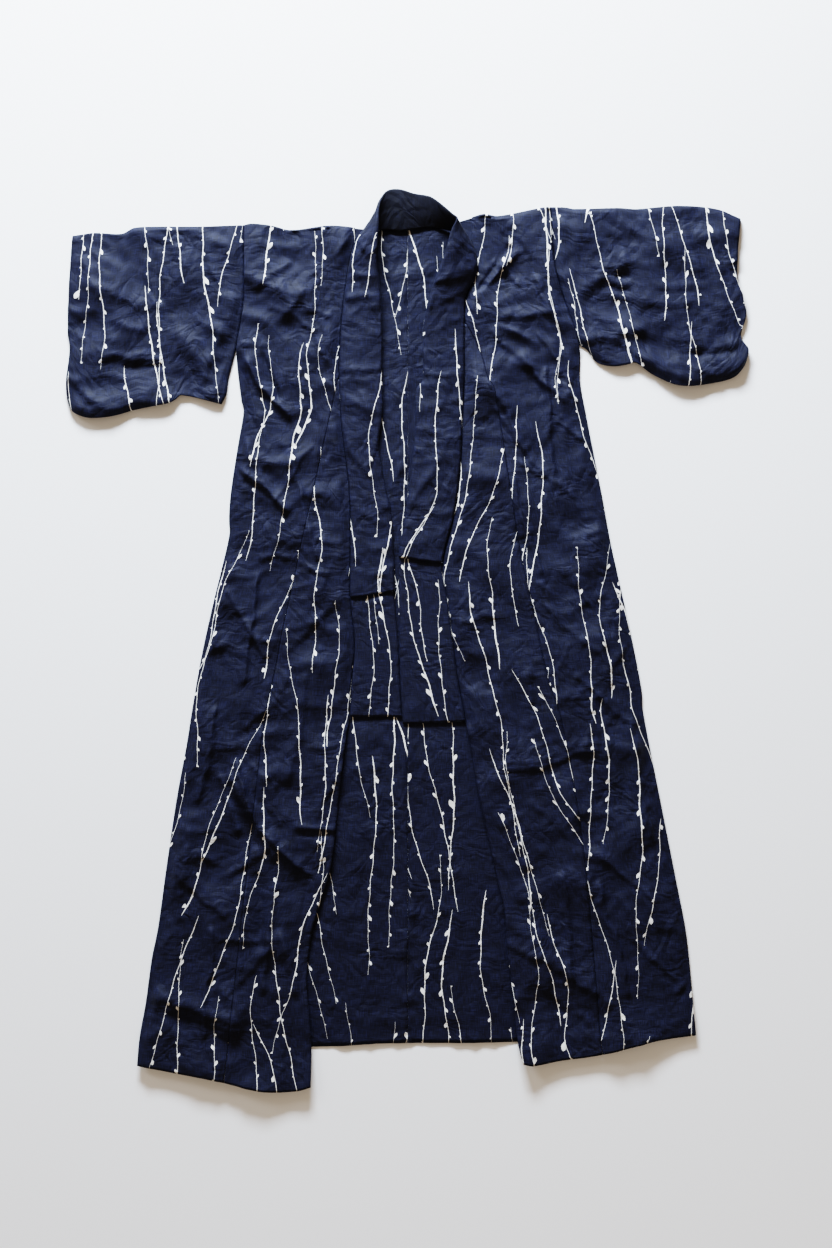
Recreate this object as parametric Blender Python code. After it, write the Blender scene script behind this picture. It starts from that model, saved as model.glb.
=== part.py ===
"""A cotton yukata robe laid flat with its front up, its fronts open and its collar at +Y.

Each cut piece is a thin closed wall. Its middle surface is worked out row by row from the edges below, its
height from the layers under it and from the folds, and the wall is that surface moved out both ways.
Sizes are in millimetres and are turned to metres when a mesh is made.
"""

import bpy
import numpy as np

MM = 0.001
WALL = 1.3  # one layer of cloth with its seam allowances
LAYER_GAP = 0.5  # between two layers that lie on each other
PLAN_CENTRE = (-1.0, 1.6)  # middle of the whole robe in the plan below, moved to the origin
SEAM_GAP = 0.3  # between two pieces that are sewn edge to edge
COLLAR_SEAM_GAP = 1.0  # the thick collar stands off the panels that it is sewn to
COVER_WALL = 1.2
COVER_GAP = 0.3  # between the collar and the cover folded round it
BACK_Z = WALL / 2  # middle of the layer on the floor
FRONT_Z = BACK_Z + WALL + LAYER_GAP
COVER_OUT = WALL / 2 + COVER_GAP + COVER_WALL / 2

FOLD_ANGLES = (-90, -45, 0, 45, 90)  # steps of the soft turn at a shoulder or a sleeve edge, in degrees
COVER_TURN = (0, 45, 90, 135, 180)  # steps of the cover's turn round the collar's free edge
PANEL_STEPS = 7  # cells across a body panel
OVERLAP_STEPS = 4
BACK_CROWD = 1.6  # draws the cells of the back towards its centre seam
SLEEVE_STEPS = 11
COLLAR_STEPS = 3
ROW_PITCH = 46.0  # no cell along a panel is longer
SLEEVE_LOW_STEPS = 3  # rows of a sleeve that hangs below the underarm
NECK_CLEAR = 8.0  # no row of the back starts nearer than this below the last neck row
CENTRE_START = 722.0  # y of the centre seam at the first row below the neck edge
EDGE_TAPER = 22.0  # folds die out this near a sewn edge
HEM_RISE = 9.0  # the front hems stand off the floor by this much
HEM_REACH = 130.0  # and come down over this length

# Shoulder line from the sleeve seam to the neck. Columns: x, y
SHOULDER = {
    "left": [(-298, 757), (-284, 760), (-247, 756), (-213, 748), (-140, 756), (-82, 751)],
    "right": [(258, 790), (245, 789), (164, 773), (138, 777), (106, 768)],
}
# Side of the body from the shoulder past the underarm to the front hem. Columns: x, y
SIDE = {
    "left": [
        (-298, 757), (-298, 621), (-311, 534), (-311, 512), (-302, 436), (-298, 421), (-309, 354),
        (-322, 268), (-325, 221), (-324, 196), (-340, 125), (-356, 59), (-375, -28), (-391, -119),
        (-402, -188), (-420, -286), (-439, -413), (-454, -521), (-465, -575), (-476, -655), (-487, -719),
        (-491, -770),
    ],
    "right": [
        (258, 790), (267, 676), (311, 539), (313, 472), (322, 421), (338, 339), (353, 263), (368, 181),
        (382, 118), (405, 14), (425, -90), (427, -125), (458, -285), (487, -432), (507, -539), (523, -715),
    ],
}
UNDERARM = {"left": 534, "right": 539}
ARM_BEND = {"left": 621, "right": 676}  # where the sleeve seam turns
# Seam between a body front and its overlap panel, from its tip to the hem. Columns: x, y
OVERLAP_SEAM = {
    "left": [
        (-127, 476), (-227, 21), (-238, -39), (-253, -108), (-263, -161), (-273, -246), (-333, -797),
    ],
    "right": [
        (106, 577), (125, 541), (135, 516), (145, 479), (158, 456), (203, 172), (231, 45), (255, -70),
        (280, -146), (318, -364), (353, -750),
    ],
}
# Free front edge below the collar, down to the hem. Columns: x, y
FRONT_EDGE = {
    "left": [
        (-109, -155), (-116, -204), (-127, -301), (-131, -341), (-138, -399), (-145, -432), (-173, -521),
        (-182, -586), (-184, -624), (-180, -666), (-175, -737), (-176, -808),
    ],
    "right": [
        (115, -195), (125, -257), (136, -310), (165, -442), (176, -490), (180, -557), (187, -611),
        (193, -666), (200, -730), (209, -766),
    ],
}
# Front hem from the side to the front edge. Columns: x, y
FRONT_HEM = {
    "left": [
        (-491, -770), (-452, -777), (-416, -784), (-380, -790), (-325, -802), (-280, -813), (-244, -817),
        (-200, -815), (-176, -808),
    ],
    "right": [(523, -715), (453, -724), (416, -733), (345, -751), (273, -761), (229, -769), (209, -766)],
}
# Back hem from the side to the centre seam. Columns: x, y
BACK_HEM = {
    "left": [(-488, -735), (-175, -737), (-128, -736), (-56, -731), (0, -730)],
    "right": [(518, -700), (345, -728), (198, -728), (93, -730), (0, -730)],
}
# Rows of the back that end along its neck edge, from the shoulder down. Columns: y at the side, neck edge x, y
BACK_NECK = {
    "left": [(740, -60, 747), (732, -45, 747.5), (724, -30, 748), (716, -15, 748.5), (708, 0, 749)],
    "right": [(775, 84, 760), (765, 62, 757), (755, 36, 754), (745, 18, 751), (735, 0, 749)],
}
# Edges of the sleeves. Columns: x, y
SLEEVE_TOP = {
    "left": [
        (-298, 757), (-304, 757), (-396, 754), (-447, 754), (-497, 752), (-520, 741), (-569, 743),
        (-609, 737),
    ],
    "right": [
        (258, 790), (287, 789), (302, 786), (384, 788), (415, 786), (491, 792), (562, 786), (605, 768),
    ],
}
CUFF = {
    "left": [(-609, 737), (-614, 667), (-618, 559), (-614, 534), (-620, 472), (-620, 443)],
    "right": [
        (605, 768), (600, 717), (599, 661), (607, 634), (615, 596), (605, 557), (608, 546), (618, 532),
        (618, 518),
    ],
}
# The left sleeve hangs open below the underarm; the right one is drawn up level with it. Columns: x, y
SLEEVE_LOW_IN = {"left": [(-311, 534), (-325, 481), (-329, 449), (-338, 430)], "right": []}
SLEEVE_BOTTOM = {
    "left": [
        (-338, 430), (-411, 447), (-421, 439), (-433, 432), (-496, 420), (-533, 409), (-568, 405), (-588, 407),
        (-611, 419), (-620, 443),
    ],
    "right": [
        (311, 539), (325, 530), (343, 507), (373, 499), (403, 503), (413, 506), (439, 488), (464, 474), (487, 465),
        (515, 463), (551, 468), (592, 479), (610, 498), (618, 518),
    ],
}
# Collar stations from the left end, over the neck, to the right end, and how they stand.
# Columns: sewn edge x, y, z, free edge x, y, z, bulge between them
COLLAR = [
    (-105, -137, 3.9, -11, -137, 3.9, 0.0),
    (-102, -79, 3.9, -15, -79, 3.9, 1.0),
    (-96, -4, 3.9, -18, -4, 3.9, 1.0),
    (-104, 78, 3.9, -25, 90, 3.9, 0.5),
    (-104, 158, 3.9, -27, 158, 3.9, 1.5),
    (-104, 238, 3.9, -33, 238, 4.2, 2.0),
    (-107, 288, 3.9, -44, 288, 5.5, 2.5),
    (-115, 354, 3.9, -55, 354, 8.0, 2.0),
    (-120, 390, 3.9, -51, 390, 8.5, 2.0),
    (-122, 427, 3.9, -47, 427, 9.0, 2.5),
    (-124, 497, 4.0, -49, 490, 9.5, 3.0),
    (-120, 581, 4.0, -49, 581, 13.0, 3.0),
    (-113, 639, 4.3, -53, 648, 19.0, 3.5),
    (-105, 688, 4.6, -58, 688, 27.0, 4.0),
    (-95, 725, 5.0, -56, 721, 32.0, 4.5),
    (-82, 745, 5.0, -54, 752, 33.0, 4.0),
    (-73, 750, 5.0, -53, 781, 30.0, 3.0),
    (-55, 747, 5.0, -47, 801, 23.0, 2.5),
    (-36, 747, 5.0, -35, 815, 18.0, 2.0),
    (-18, 745, 5.0, -15, 817, 17.0, 2.0),
    (7, 748, 5.0, 11, 809, 18.0, 2.0),
    (36, 752, 5.0, 40, 803, 21.0, 2.0),
    (62, 750, 5.0, 60, 788, 27.0, 2.5),
    (84, 745, 5.0, 80, 770, 32.0, 3.0),
    (102, 741, 5.0, 89, 761, 34.0, 4.0),
    (115, 723, 5.0, 80, 741, 33.0, 4.5),
    (124, 699, 5.0, 69, 701, 29.0, 5.0),
    (125, 670, 4.6, 56, 668, 23.0, 5.0),
    (105, 628, 4.3, 42, 628, 16.0, 4.0),
    (102, 577, 4.0, 31, 577, 10.0, 2.5),
    (102, 523, 3.9, 29, 523, 6.0, 2.0),
    (102, 476, 3.9, 29, 476, 4.6, 2.0),
    (100, 439, 3.9, 16, 454, 4.2, 1.5),
    (98, 390, 3.9, 15, 390, 3.9, 1.5),
    (96, 336, 3.9, 13, 354, 3.9, 1.5),
    (85, 239, 3.9, 0, 248, 3.9, 2.0),
    (62, 138, 3.9, -15, 148, 3.9, 0.5),
    (71, 78, 3.9, -16, 78, 3.9, 1.0),
    (78, 25, 3.9, -15, 25, 3.9, 1.0),
    (91, -72, 3.9, -13, -72, 3.9, 1.0),
    (105, -146, 3.9, -9, -150, 3.9, 0.0),
]
COLLAR_EDGE = {"left": range(14, -1, -1), "right": range(25, 41)}  # stations along each front, from the neck
COVER_ENDS = (3, 36)  # stations at which the cover begins and ends

# Largest folds of the upper layer. Columns: from x, y, to x, y, height, half width
FRONT_FOLDS = [
    (140, 652, 206, 700, 7.0, 13), (150, 610, 235, 640, 2.5, 14), (195, 735, 280, 655, 3.0, 16),
    (313, 545, 430, 566, 6.0, 11), (311, 632, 409, 690, 5.0, 13), (364, 623, 524, 608, 5.0, 12),
    (470, 548, 602, 545, 4.0, 10), (345, 590, 455, 552, 4.0, 12), (430, 516, 560, 478, 5.0, 16),
    (415, 700, 560, 735, 4.0, 20), (300, 735, 400, 742, 3.5, 16), (560, 690, 575, 600, 3.0, 18),
    (-470, 700, -430, 610, 4.0, 14), (-565, 520, -470, 516, 4.0, 11), (-560, 640, -480, 600, 3.5, 18),
    (-350, 680, -325, 580, 4.0, 14), (-420, 560, -350, 470, 4.0, 18), (-545, 440, -450, 460, 3.0, 16),
    (-400, 720, -380, 620, 3.0, 18), (-255, 700, -175, 500, 3.5, 20), (-190, 640, -150, 560, 2.5, 14),
    (-290, 480, -240, 300, 3.0, 20), (-200, 420, -240, 150, 3.0, 22), (-325, 190, -408, -285, 5.5, 13),
    (-150, 200, -170, -150, 3.0, 18), (-240, 60, -330, -220, 3.0, 26), (-330, -215, -190, -420, 4.5, 18),
    (-400, -330, -440, -740, 4.5, 26), (-300, -440, -320, -780, 4.5, 24), (-220, -500, -225, -800, 4.0, 18),
    (-469, -640, -300, -686, 3.0, 12), (170, 480, 225, 250, 3.0, 20), (255, 620, 290, 350, 3.5, 18),
    (285, 376, 331, 356, 2.5, 10), (300, 190, 364, 204, 2.5, 10), (240, 130, 330, -160, 3.5, 26),
    (360, 60, 430, -260, 4.0, 22), (150, -90, 190, -330, 3.0, 16), (173, -228, 349, -185, 3.0, 10),
    (300, -260, 330, -560, 4.0, 24), (420, -330, 470, -640, 4.0, 22), (230, -440, 260, -740, 4.0, 20),
    (180, -540, 340, -620, 3.0, 22), (360, -560, 400, -720, 3.5, 18),
]
# Folds of the back where it shows. Columns as above
BACK_FOLDS = [
    (-4, 560, 4, 330, 1.2, 9), (-8, -190, 4, -500, 2.0, 9),
    (6, -480, -4, -715, 2.2, 10), (-70, -230, -90, -420, 2.5, 14), (62, -220, 84, -470, 2.5, 15),
    (-110, -480, -60, -640, 2.5, 16), (120, -520, 70, -690, 2.5, 16), (-120, -690, 150, -688, 1.6, 14),
]
# How far the lower edges of the sleeves stand off the floor. Columns: x, y, height, reach
SLEEVE_RISE = [
    (-560, 405, 12.0, 75), (-440, 425, 14.0, 60), (-360, 430, 9.0, 60),
    (400, 495, 13.0, 48), (500, 462, 15.0, 70), (600, 500, 11.0, 60),
]


def curve(table, steps_y):
    """x on an edge at each given y; the table's y falls from row to row."""
    x, y = np.array(table, float).T
    return np.interp(-np.asarray(steps_y, float), -y, x)


def across(table, steps_x):
    """y on an edge at each given x."""
    x, y = np.array(sorted(table), float).T
    return np.interp(steps_x, x, y)


def even(table, shares):
    """Points at shares of an edge's length."""
    points = np.array(table, float)
    length = np.concatenate([[0], np.cumsum(np.hypot(*np.diff(points, axis=0).T))])
    length /= length[-1]
    return np.stack([np.interp(shares, length, points[:, k]) for k in (0, 1)], -1)


def smooth(share):
    share = np.clip(share, 0, 1)
    return share * share * (3 - 2 * share)


def folds(table, x, y):
    """Summed height of soft ridges: each rises over its half width and dies out at its ends."""
    height = np.zeros_like(x)
    for x0, y0, x1, y1, high, half in table:
        length = np.hypot(x1 - x0, y1 - y0)
        along = ((x - x0) * (x1 - x0) + (y - y0) * (y1 - y0)) / length
        off = ((x - x0) * (y1 - y0) - (y - y0) * (x1 - x0)) / length
        ends = smooth((along + half) / (2 * half)) * smooth((length + half - along) / (2 * half))
        height += high * ends * np.exp(-((off / half) ** 2))
    return height


def collar_rows(side):
    return np.array([COLLAR[k] for k in COLLAR_EDGE[side]], float)


def front_line(side):
    """The front's inner edge: the collar's sewn edge and then the free front edge."""
    return [tuple(row[:2]) for row in collar_rows(side)] + FRONT_EDGE[side]


def sign(side):
    return -1 if side == "left" else 1


def front_height(side, x, y):
    """Middle of the upper layer above the floor."""
    from_collar = np.abs(x - curve(front_line(side), y))
    above_collar_end = smooth((y - collar_rows(side)[-1][1] + EDGE_TAPER) / EDGE_TAPER)
    at_collar = 1 - above_collar_end * (1 - smooth(from_collar / EDGE_TAPER))
    from_side = np.abs(x - curve(SIDE[side], y))
    at_side = 1 - smooth((UNDERARM[side] - y) / EDGE_TAPER) * (1 - smooth(from_side / EDGE_TAPER))
    hem = across(FRONT_HEM[side], x)
    rise = HEM_RISE * smooth(1 - (y - hem) / HEM_REACH) ** 1.5
    return FRONT_Z + folds(FRONT_FOLDS, x, y) * at_collar * at_side + rise


def sleeve_rise(x, y):
    """How far a sleeve's under layer stands off the floor."""
    rise = np.zeros_like(x)
    for x0, y0, high, reach in SLEEVE_RISE:
        rise = np.maximum(rise, high * smooth(1 - np.hypot((x - x0) / 1.5, y - y0) / reach))
    return rise


def levels(side):
    """y of each row on the front's inner edge, from the neck to the hem, with long gaps split."""
    stops = [SHOULDER[side][-1][1]] + [y for _, y in front_line(side)]
    tip = OVERLAP_SEAM[side][0][1]
    stops = sorted(set(stops + [tip]), reverse=True)
    found = [stops[0]]
    for y in stops[1:]:
        count = max(1, int(np.ceil((found[-1] - y) / ROW_PITCH)))
        found += list(np.linspace(found[-1], y, count + 1)[1:])
    return np.array(found)


def near_row(rows, y):
    return int(np.abs(rows - y).argmin())


class Rows:
    """The rows of one side of the robe, shared by every piece that meets along them."""

    def __init__(self, side):
        self.edge_y = levels(side)
        self.tip = near_row(self.edge_y, OVERLAP_SEAM[side][0][1])
        tip_y = self.edge_y[self.tip]
        drop = (tip_y - self.edge_y) / (tip_y - self.edge_y[-1])
        self.side_y = self.down(side, SIDE, drop, tip_y)
        self.seam_y = tip_y + (OVERLAP_SEAM[side][-1][1] - tip_y) * drop
        for y in (ARM_BEND[side], UNDERARM[side]):
            self.side_y[near_row(self.side_y, y)] = y
        self.under = near_row(self.side_y, UNDERARM[side])
        self.side = np.stack([curve(SIDE[side], self.side_y), self.side_y], -1)
        self.edge = np.stack([curve(front_line(side), self.edge_y), self.edge_y], -1)
        self.seam = np.stack([curve(OVERLAP_SEAM[side], self.seam_y), self.seam_y], -1)

    def down(self, side, table, drop, tip_y):
        top, low = table[side][0][1], table[side][-1][1]
        above = self.edge_y[0] - tip_y
        rising = tip_y + (self.edge_y - tip_y) * (top - tip_y) / above
        return np.where(drop < 0, rising, tip_y + (low - tip_y) * drop)


def sheet_rows(outer, inner, steps, crowd=1.0):
    """Straight rows between two edges."""
    share = 1 - np.linspace(1, 0, steps + 1)[None, :, None] ** crowd
    return outer[:, None] * (1 - share) + inner[:, None] * share


def bend_hem(grid, table, reach_rows):
    """Carries a curved hem into the last rows."""
    off = across(table, grid[-1, :, 0]) - grid[-1, :, 1]
    for k in range(reach_rows):
        grid[-1 - k, :, 1] += off * (1 - k / reach_rows)
    return grid


def turn(top_xy, low_z, high_z, out):
    """The soft turn from the lower to the upper layer at an edge. Returns middles and their outward directions."""
    radius = (high_z - low_z) / 2
    middle = (high_z + low_z) / 2
    centre = top_xy - out * (WALL / 2 + radius)[:, None]
    places, ways = [], []
    for angle in np.radians(FOLD_ANGLES):
        flat = out * np.cos(angle)
        places.append(np.column_stack([centre + flat * radius[:, None], middle + radius * np.sin(angle)]))
        ways.append(np.column_stack([flat, np.full(len(out), np.sin(angle))]))
    return np.array(places), np.array(ways)


def with_height(grid, height, way):
    """Adds heights to a plan grid, with directions straight up (1) or down (-1)."""
    ways = np.zeros(grid.shape[:2] + (3,))
    ways[..., 2] = way
    return np.concatenate([grid, height[..., None]], -1), ways


def body(side):
    """One length of cloth: up the back from the hem, over the shoulder and down the front."""
    rows = Rows(side)
    s = sign(side)
    inner = np.where((np.arange(len(rows.edge)) < rows.tip)[:, None], rows.edge, rows.seam)
    inner[:, 0] += s * np.where(np.arange(len(inner)) < rows.tip, COLLAR_SEAM_GAP, SEAM_GAP / 2)
    front = sheet_rows(rows.side, inner, PANEL_STEPS)
    shoulder = across(SHOULDER[side], front[0, :, 0])
    lift = shoulder - front[0, :, 1]
    for k, share in enumerate((1.0, 0.5, 0.15)):
        front[k, :, 1] += lift * share
    front = bend_hem(front, FRONT_HEM[side], 4)
    high = front_height(side, front[..., 0], front[..., 1])
    out = np.tile([0.0, 1.0], (PANEL_STEPS + 1, 1))
    places, ways = turn(front[0], np.full(PANEL_STEPS + 1, BACK_Z), high[0], out)

    neck = np.array(BACK_NECK[side], float)
    neck[-1, 1] = s * SEAM_GAP / 2
    beside_neck = np.stack([curve(SIDE[side], neck[:, 0]), neck[:, 0]], -1)
    neck_rows = sheet_rows(beside_neck, neck[:, 1:], PANEL_STEPS)
    low_y = across(BACK_HEM[side], SIDE[side][-1][0])
    below = np.linspace(UNDERARM[side], low_y, 1 + int((UNDERARM[side] - low_y) / ROW_PITCH))[1:]
    beside_arm = rows.side_y[: rows.under + 1]
    back_y = np.concatenate([beside_arm[beside_arm < neck[-1, 0] - NECK_CLEAR], below])
    side_edge = np.stack([curve(SIDE[side], back_y), back_y], -1)
    centre_y = np.linspace(CENTRE_START, BACK_HEM[side][-1][1], len(back_y))
    centre = np.stack([np.full(len(back_y), s * SEAM_GAP / 2), centre_y], -1)
    lower = bend_hem(sheet_rows(side_edge, centre, PANEL_STEPS, BACK_CROWD), BACK_HEM[side], 4)
    back = np.concatenate([neck_rows, lower])[::-1]
    back_high = BACK_Z + folds(BACK_FOLDS, back[..., 0], back[..., 1])
    back, back_ways = with_height(back, back_high, -1)
    front, front_ways = with_height(front, high, 1)
    grid = np.concatenate([back, places, front[1:]])
    ways = np.concatenate([back_ways, ways, front_ways[1:]])
    return grid, ways, False, np.zeros(grid.shape[:2], bool)


def overlap(side):
    """The tapered panel between a body front and the front edge."""
    rows = Rows(side)
    s = sign(side)
    seam = rows.seam[rows.tip :].copy()
    edge = rows.edge[rows.tip :].copy()
    seam[:, 0] -= s * SEAM_GAP / 2
    sewn = rows.edge_y[rows.tip :] >= collar_rows(side)[-1][1]
    edge[:, 0] += s * np.where(sewn, COLLAR_SEAM_GAP, 0)
    grid = bend_hem(sheet_rows(seam, edge, OVERLAP_STEPS), FRONT_HEM[side], 4)
    grid, ways = with_height(grid, front_height(side, grid[..., 0], grid[..., 1]), 1)
    return grid, ways, False, np.zeros(grid.shape[:2], bool)


def patch(top, bottom, inner, cuff, shares):
    """A grid filled between four edges; the inner edge gives the rows."""
    length = np.concatenate([[0], np.cumsum(np.hypot(*np.diff(inner, axis=0).T))])
    down = (length / length[-1])[:, None, None]
    side = shares[None, :, None]
    upper, lower = even(top, shares)[None], even(bottom, shares)[None]
    outer = even(cuff, down[:, 0, 0])[:, None]
    inner = inner[:, None]
    corners = (
        (1 - side) * (1 - down) * inner[:1] + side * (1 - down) * outer[:1]
        + (1 - side) * down * inner[-1:] + side * down * outer[-1:]
    )
    return (1 - down) * upper + down * lower + (1 - side) * inner + side * outer - corners


def unit(ways):
    return ways / np.linalg.norm(ways, axis=-1, keepdims=True)


def lie(points):
    """Direction of a row of points at each point: the mean of the steps before and after it."""
    steps = unit(np.diff(points, axis=0))
    return unit(np.concatenate([steps[:1], steps]) + np.concatenate([steps, steps[-1:]]))


def outwards(edge, before, up):
    """Directions in plan out of the cloth: between square to the edge and on from the row before it."""
    along = lie(edge)
    square = np.stack([-along[:, 1], along[:, 0]], -1)
    onward = unit(edge - before)
    square *= np.sign(square[:, 1:] * up)
    return unit(square + onward)


def sleeve(side):
    """A tube of cloth, flattened: upper layer, lower edge, under layer and the fold on top."""
    rows = Rows(side)
    s = sign(side)
    joined = rows.side[: rows.under + 1]
    inner = joined.copy()
    if SLEEVE_LOW_IN[side]:
        inner = np.concatenate([joined, even(SLEEVE_LOW_IN[side], np.linspace(0, 1, SLEEVE_LOW_STEPS + 1))[1:]])
    inner[:, 0] += s * SEAM_GAP
    shares = np.linspace(0, 1, SLEEVE_STEPS) ** 0.95
    shares = np.sort(np.append(shares, 1 - (1 - shares[-2]) * 0.4))
    above = [tuple(inner[0])] + SLEEVE_TOP[side][1:]
    below = [tuple(inner[-1])] + SLEEVE_BOTTOM[side][1:]
    flat = patch(above, below, inner, CUFF[side], shares)
    x, y = flat[..., 0], flat[..., 1]
    under = BACK_Z + sleeve_rise(x, y)
    down_share = np.abs(y - y[-1:]) / EDGE_TAPER
    upper = under + (FRONT_Z - BACK_Z) + folds(FRONT_FOLDS, x, y) * (0.35 + 0.65 * smooth(down_share))
    top, top_ways = turn(flat[0], under[0], upper[0], outwards(flat[0], flat[1], 1))
    bottom, bottom_ways = turn(flat[-1], under[-1], upper[-1], outwards(flat[-1], flat[-2], -1))
    face, face_ways = with_height(flat[1:-1], upper[1:-1], 1)
    rear, rear_ways = with_height(flat[1:-1], under[1:-1], -1)
    grid = np.concatenate([top, face, bottom[::-1], rear[::-1]])
    ways = np.concatenate([top_ways, face_ways, bottom_ways[::-1], rear_ways[::-1]])
    turn_middle = len(FOLD_ANGLES) // 2
    row = np.arange(len(grid))
    turned = (row < turn_middle) | (row >= len(top) + len(face) + turn_middle)
    return grid, ways, True, np.repeat(turned[:, None], grid.shape[1], 1)


def band():
    """Middle surface of the collar and its outward directions, from the left end to the right end."""
    stations = np.array(COLLAR, float)
    rows = {side: Rows(side) for side in ("left", "right")}
    places = list(range(len(COLLAR)))
    for side in ("left", "right"):
        line = collar_rows(side)
        index = np.array(list(COLLAR_EDGE[side]), float)
        wanted = rows[side].edge_y
        wanted = wanted[(wanted <= line[0][1]) & (wanted >= line[-1][1])]
        places += list(np.interp(-wanted, -line[:, 1], index))
    places = np.unique(np.round(places, 6))
    rows_at = np.stack([np.interp(places, np.arange(len(COLLAR)), stations[:, k]) for k in range(7)], -1)
    share = np.linspace(0, 1, COLLAR_STEPS + 1)[None, :, None]
    grid = rows_at[:, None, :3] * (1 - share) + rows_at[:, None, 3:6] * share
    grid[..., 2] += 4 * share[..., 0] * (1 - share[..., 0]) * rows_at[:, 6:7]
    over = np.swapaxes(lie(np.swapaxes(grid, 0, 1)), 0, 1)
    return places, grid, unit(np.cross(over, lie(grid)))


def collar():
    _, grid, out = band()
    return grid, out, False, np.zeros(grid.shape[:2], bool)


def collar_cover():
    """Folded round the collar's free edge, over its outer face and under its inner one."""
    places, grid, out = band()
    kept = (places >= COVER_ENDS[0]) & (places <= COVER_ENDS[1])
    grid, out = grid[kept], out[kept]
    beyond = unit(np.cross(lie(grid[:, -1]), out[:, -1]))
    beyond *= np.sign((beyond * (grid[:, -1] - grid[:, -2])).sum(-1, keepdims=True))
    turned = [out[:, -1] * np.cos(a) + beyond * np.sin(a) for a in np.radians(COVER_TURN)]
    ways = np.concatenate([out[:, :-1], np.stack(turned, 1), -out[:, -2::-1]], 1)
    middle = np.concatenate([grid[:, :-1], np.repeat(grid[:, -1:], len(COVER_TURN), 1), grid[:, -2::-1]], 1)
    turned = np.repeat((np.arange(middle.shape[1]) >= COLLAR_STEPS + len(COVER_TURN) // 2)[None], len(middle), 0)
    return middle + ways * COVER_OUT, ways, False, turned


def wall_mesh(name, grid, ways, looped, turned, wall):
    """Closes a middle surface into a solid of even wall and links it as an object.

    A layer that runs back below another has its cells cut the other way, so that both keep the same facets.
    """
    count, width = grid.shape[:2]
    points = np.concatenate([(grid + ways * wall / 2).reshape(-1, 3), (grid - ways * wall / 2).reshape(-1, 3)])
    points[:, :2] -= PLAN_CENTRE
    under = count * width
    faces = []

    def quad(a, b, c, d, other_way=False):
        if other_way:
            a, b, c, d = b, c, d, a
        faces.append((a, b, c))
        faces.append((a, c, d))

    last = count if looped else count - 1
    for i in range(last):
        k = (i + 1) % count
        for j in range(width - 1):
            a, b, c, d = i * width + j, k * width + j, k * width + j + 1, i * width + j + 1
            quad(a, b, c, d, turned[i, j])
            quad(under + a, under + d, under + c, under + b, turned[i, j])
        for j, flip in ((0, False), (width - 1, True)):
            a, b = i * width + j, k * width + j
            if flip:
                a, b = b, a
            quad(a, under + a, under + b, b)
    if not looped:
        for j in range(width - 1):
            a, b = j, j + 1
            quad(a, b, under + b, under + a)
            a, b = (count - 1) * width + j, (count - 1) * width + j + 1
            quad(b, a, under + a, under + b)
    mesh = bpy.data.meshes.new(name)
    mesh.from_pydata((points * MM).tolist(), [], faces)
    mesh.update()
    signed = 0.0
    for face in mesh.polygons:
        a, b, c = (mesh.vertices[v].co for v in face.vertices)
        signed += a.dot(b.cross(c))
    if signed < 0:
        mesh.flip_normals()
    for face in mesh.polygons:
        face.use_smooth = True
    piece = bpy.data.objects.new(name, mesh)
    bpy.context.collection.objects.link(piece)
    return piece


def cotton(name, colour):
    """A dry plain-weave cotton."""
    material = bpy.data.materials.new(name)
    material.use_nodes = True
    shader = material.node_tree.nodes["Principled BSDF"]
    shader.inputs["Base Color"].default_value = (*colour, 1)
    shader.inputs["Roughness"].default_value = 0.9
    return material


PIECES = [
    ("body_left", lambda: body("left"), WALL),
    ("body_right", lambda: body("right"), WALL),
    ("overlap_left", lambda: overlap("left"), WALL),
    ("overlap_right", lambda: overlap("right"), WALL),
    ("sleeve_left", lambda: sleeve("left"), WALL),
    ("sleeve_right", lambda: sleeve("right"), WALL),
    ("collar", collar, WALL),
    ("collar_cover", collar_cover, COVER_WALL),
]
NAVY = (0.018, 0.026, 0.065)

for old in list(bpy.data.objects):
    bpy.data.objects.remove(old)
for name, make, wall in PIECES:
    piece = wall_mesh(name, *make(), wall)
    piece.data.materials.append(cotton(name + "_cotton", NAVY))
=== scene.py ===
"""A cotton yukata robe laid flat with its front up and open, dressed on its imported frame."""

import math

import bmesh
import bpy
import numpy as np
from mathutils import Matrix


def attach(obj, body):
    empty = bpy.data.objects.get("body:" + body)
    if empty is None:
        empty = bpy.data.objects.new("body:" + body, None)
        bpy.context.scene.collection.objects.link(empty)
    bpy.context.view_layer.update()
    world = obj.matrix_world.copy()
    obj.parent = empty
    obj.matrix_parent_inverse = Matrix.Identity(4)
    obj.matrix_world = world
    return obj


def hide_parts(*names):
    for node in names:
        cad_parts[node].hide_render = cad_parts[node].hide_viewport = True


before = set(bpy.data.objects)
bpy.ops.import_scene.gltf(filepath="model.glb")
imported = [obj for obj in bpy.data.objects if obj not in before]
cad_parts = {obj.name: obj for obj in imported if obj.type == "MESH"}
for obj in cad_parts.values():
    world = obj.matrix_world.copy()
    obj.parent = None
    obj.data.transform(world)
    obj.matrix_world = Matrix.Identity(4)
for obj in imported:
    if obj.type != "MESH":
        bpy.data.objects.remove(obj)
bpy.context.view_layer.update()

# The view: the camera looks straight down on the robe from well above its middle.
# The collar is at the top of the picture and the hems are at the bottom.
CAMERA_PLACE = (0.0159, 0.0300, 3.5)
CAMERA_LENS_MM = 55.5
lens = bpy.data.cameras.new("overhead")
lens.lens = CAMERA_LENS_MM
lens.sensor_width = 36
lens.clip_end = 30
camera = bpy.data.objects.new("overhead", lens)
camera.location = CAMERA_PLACE
bpy.context.collection.objects.link(camera)
bpy.context.scene.camera = camera

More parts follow.
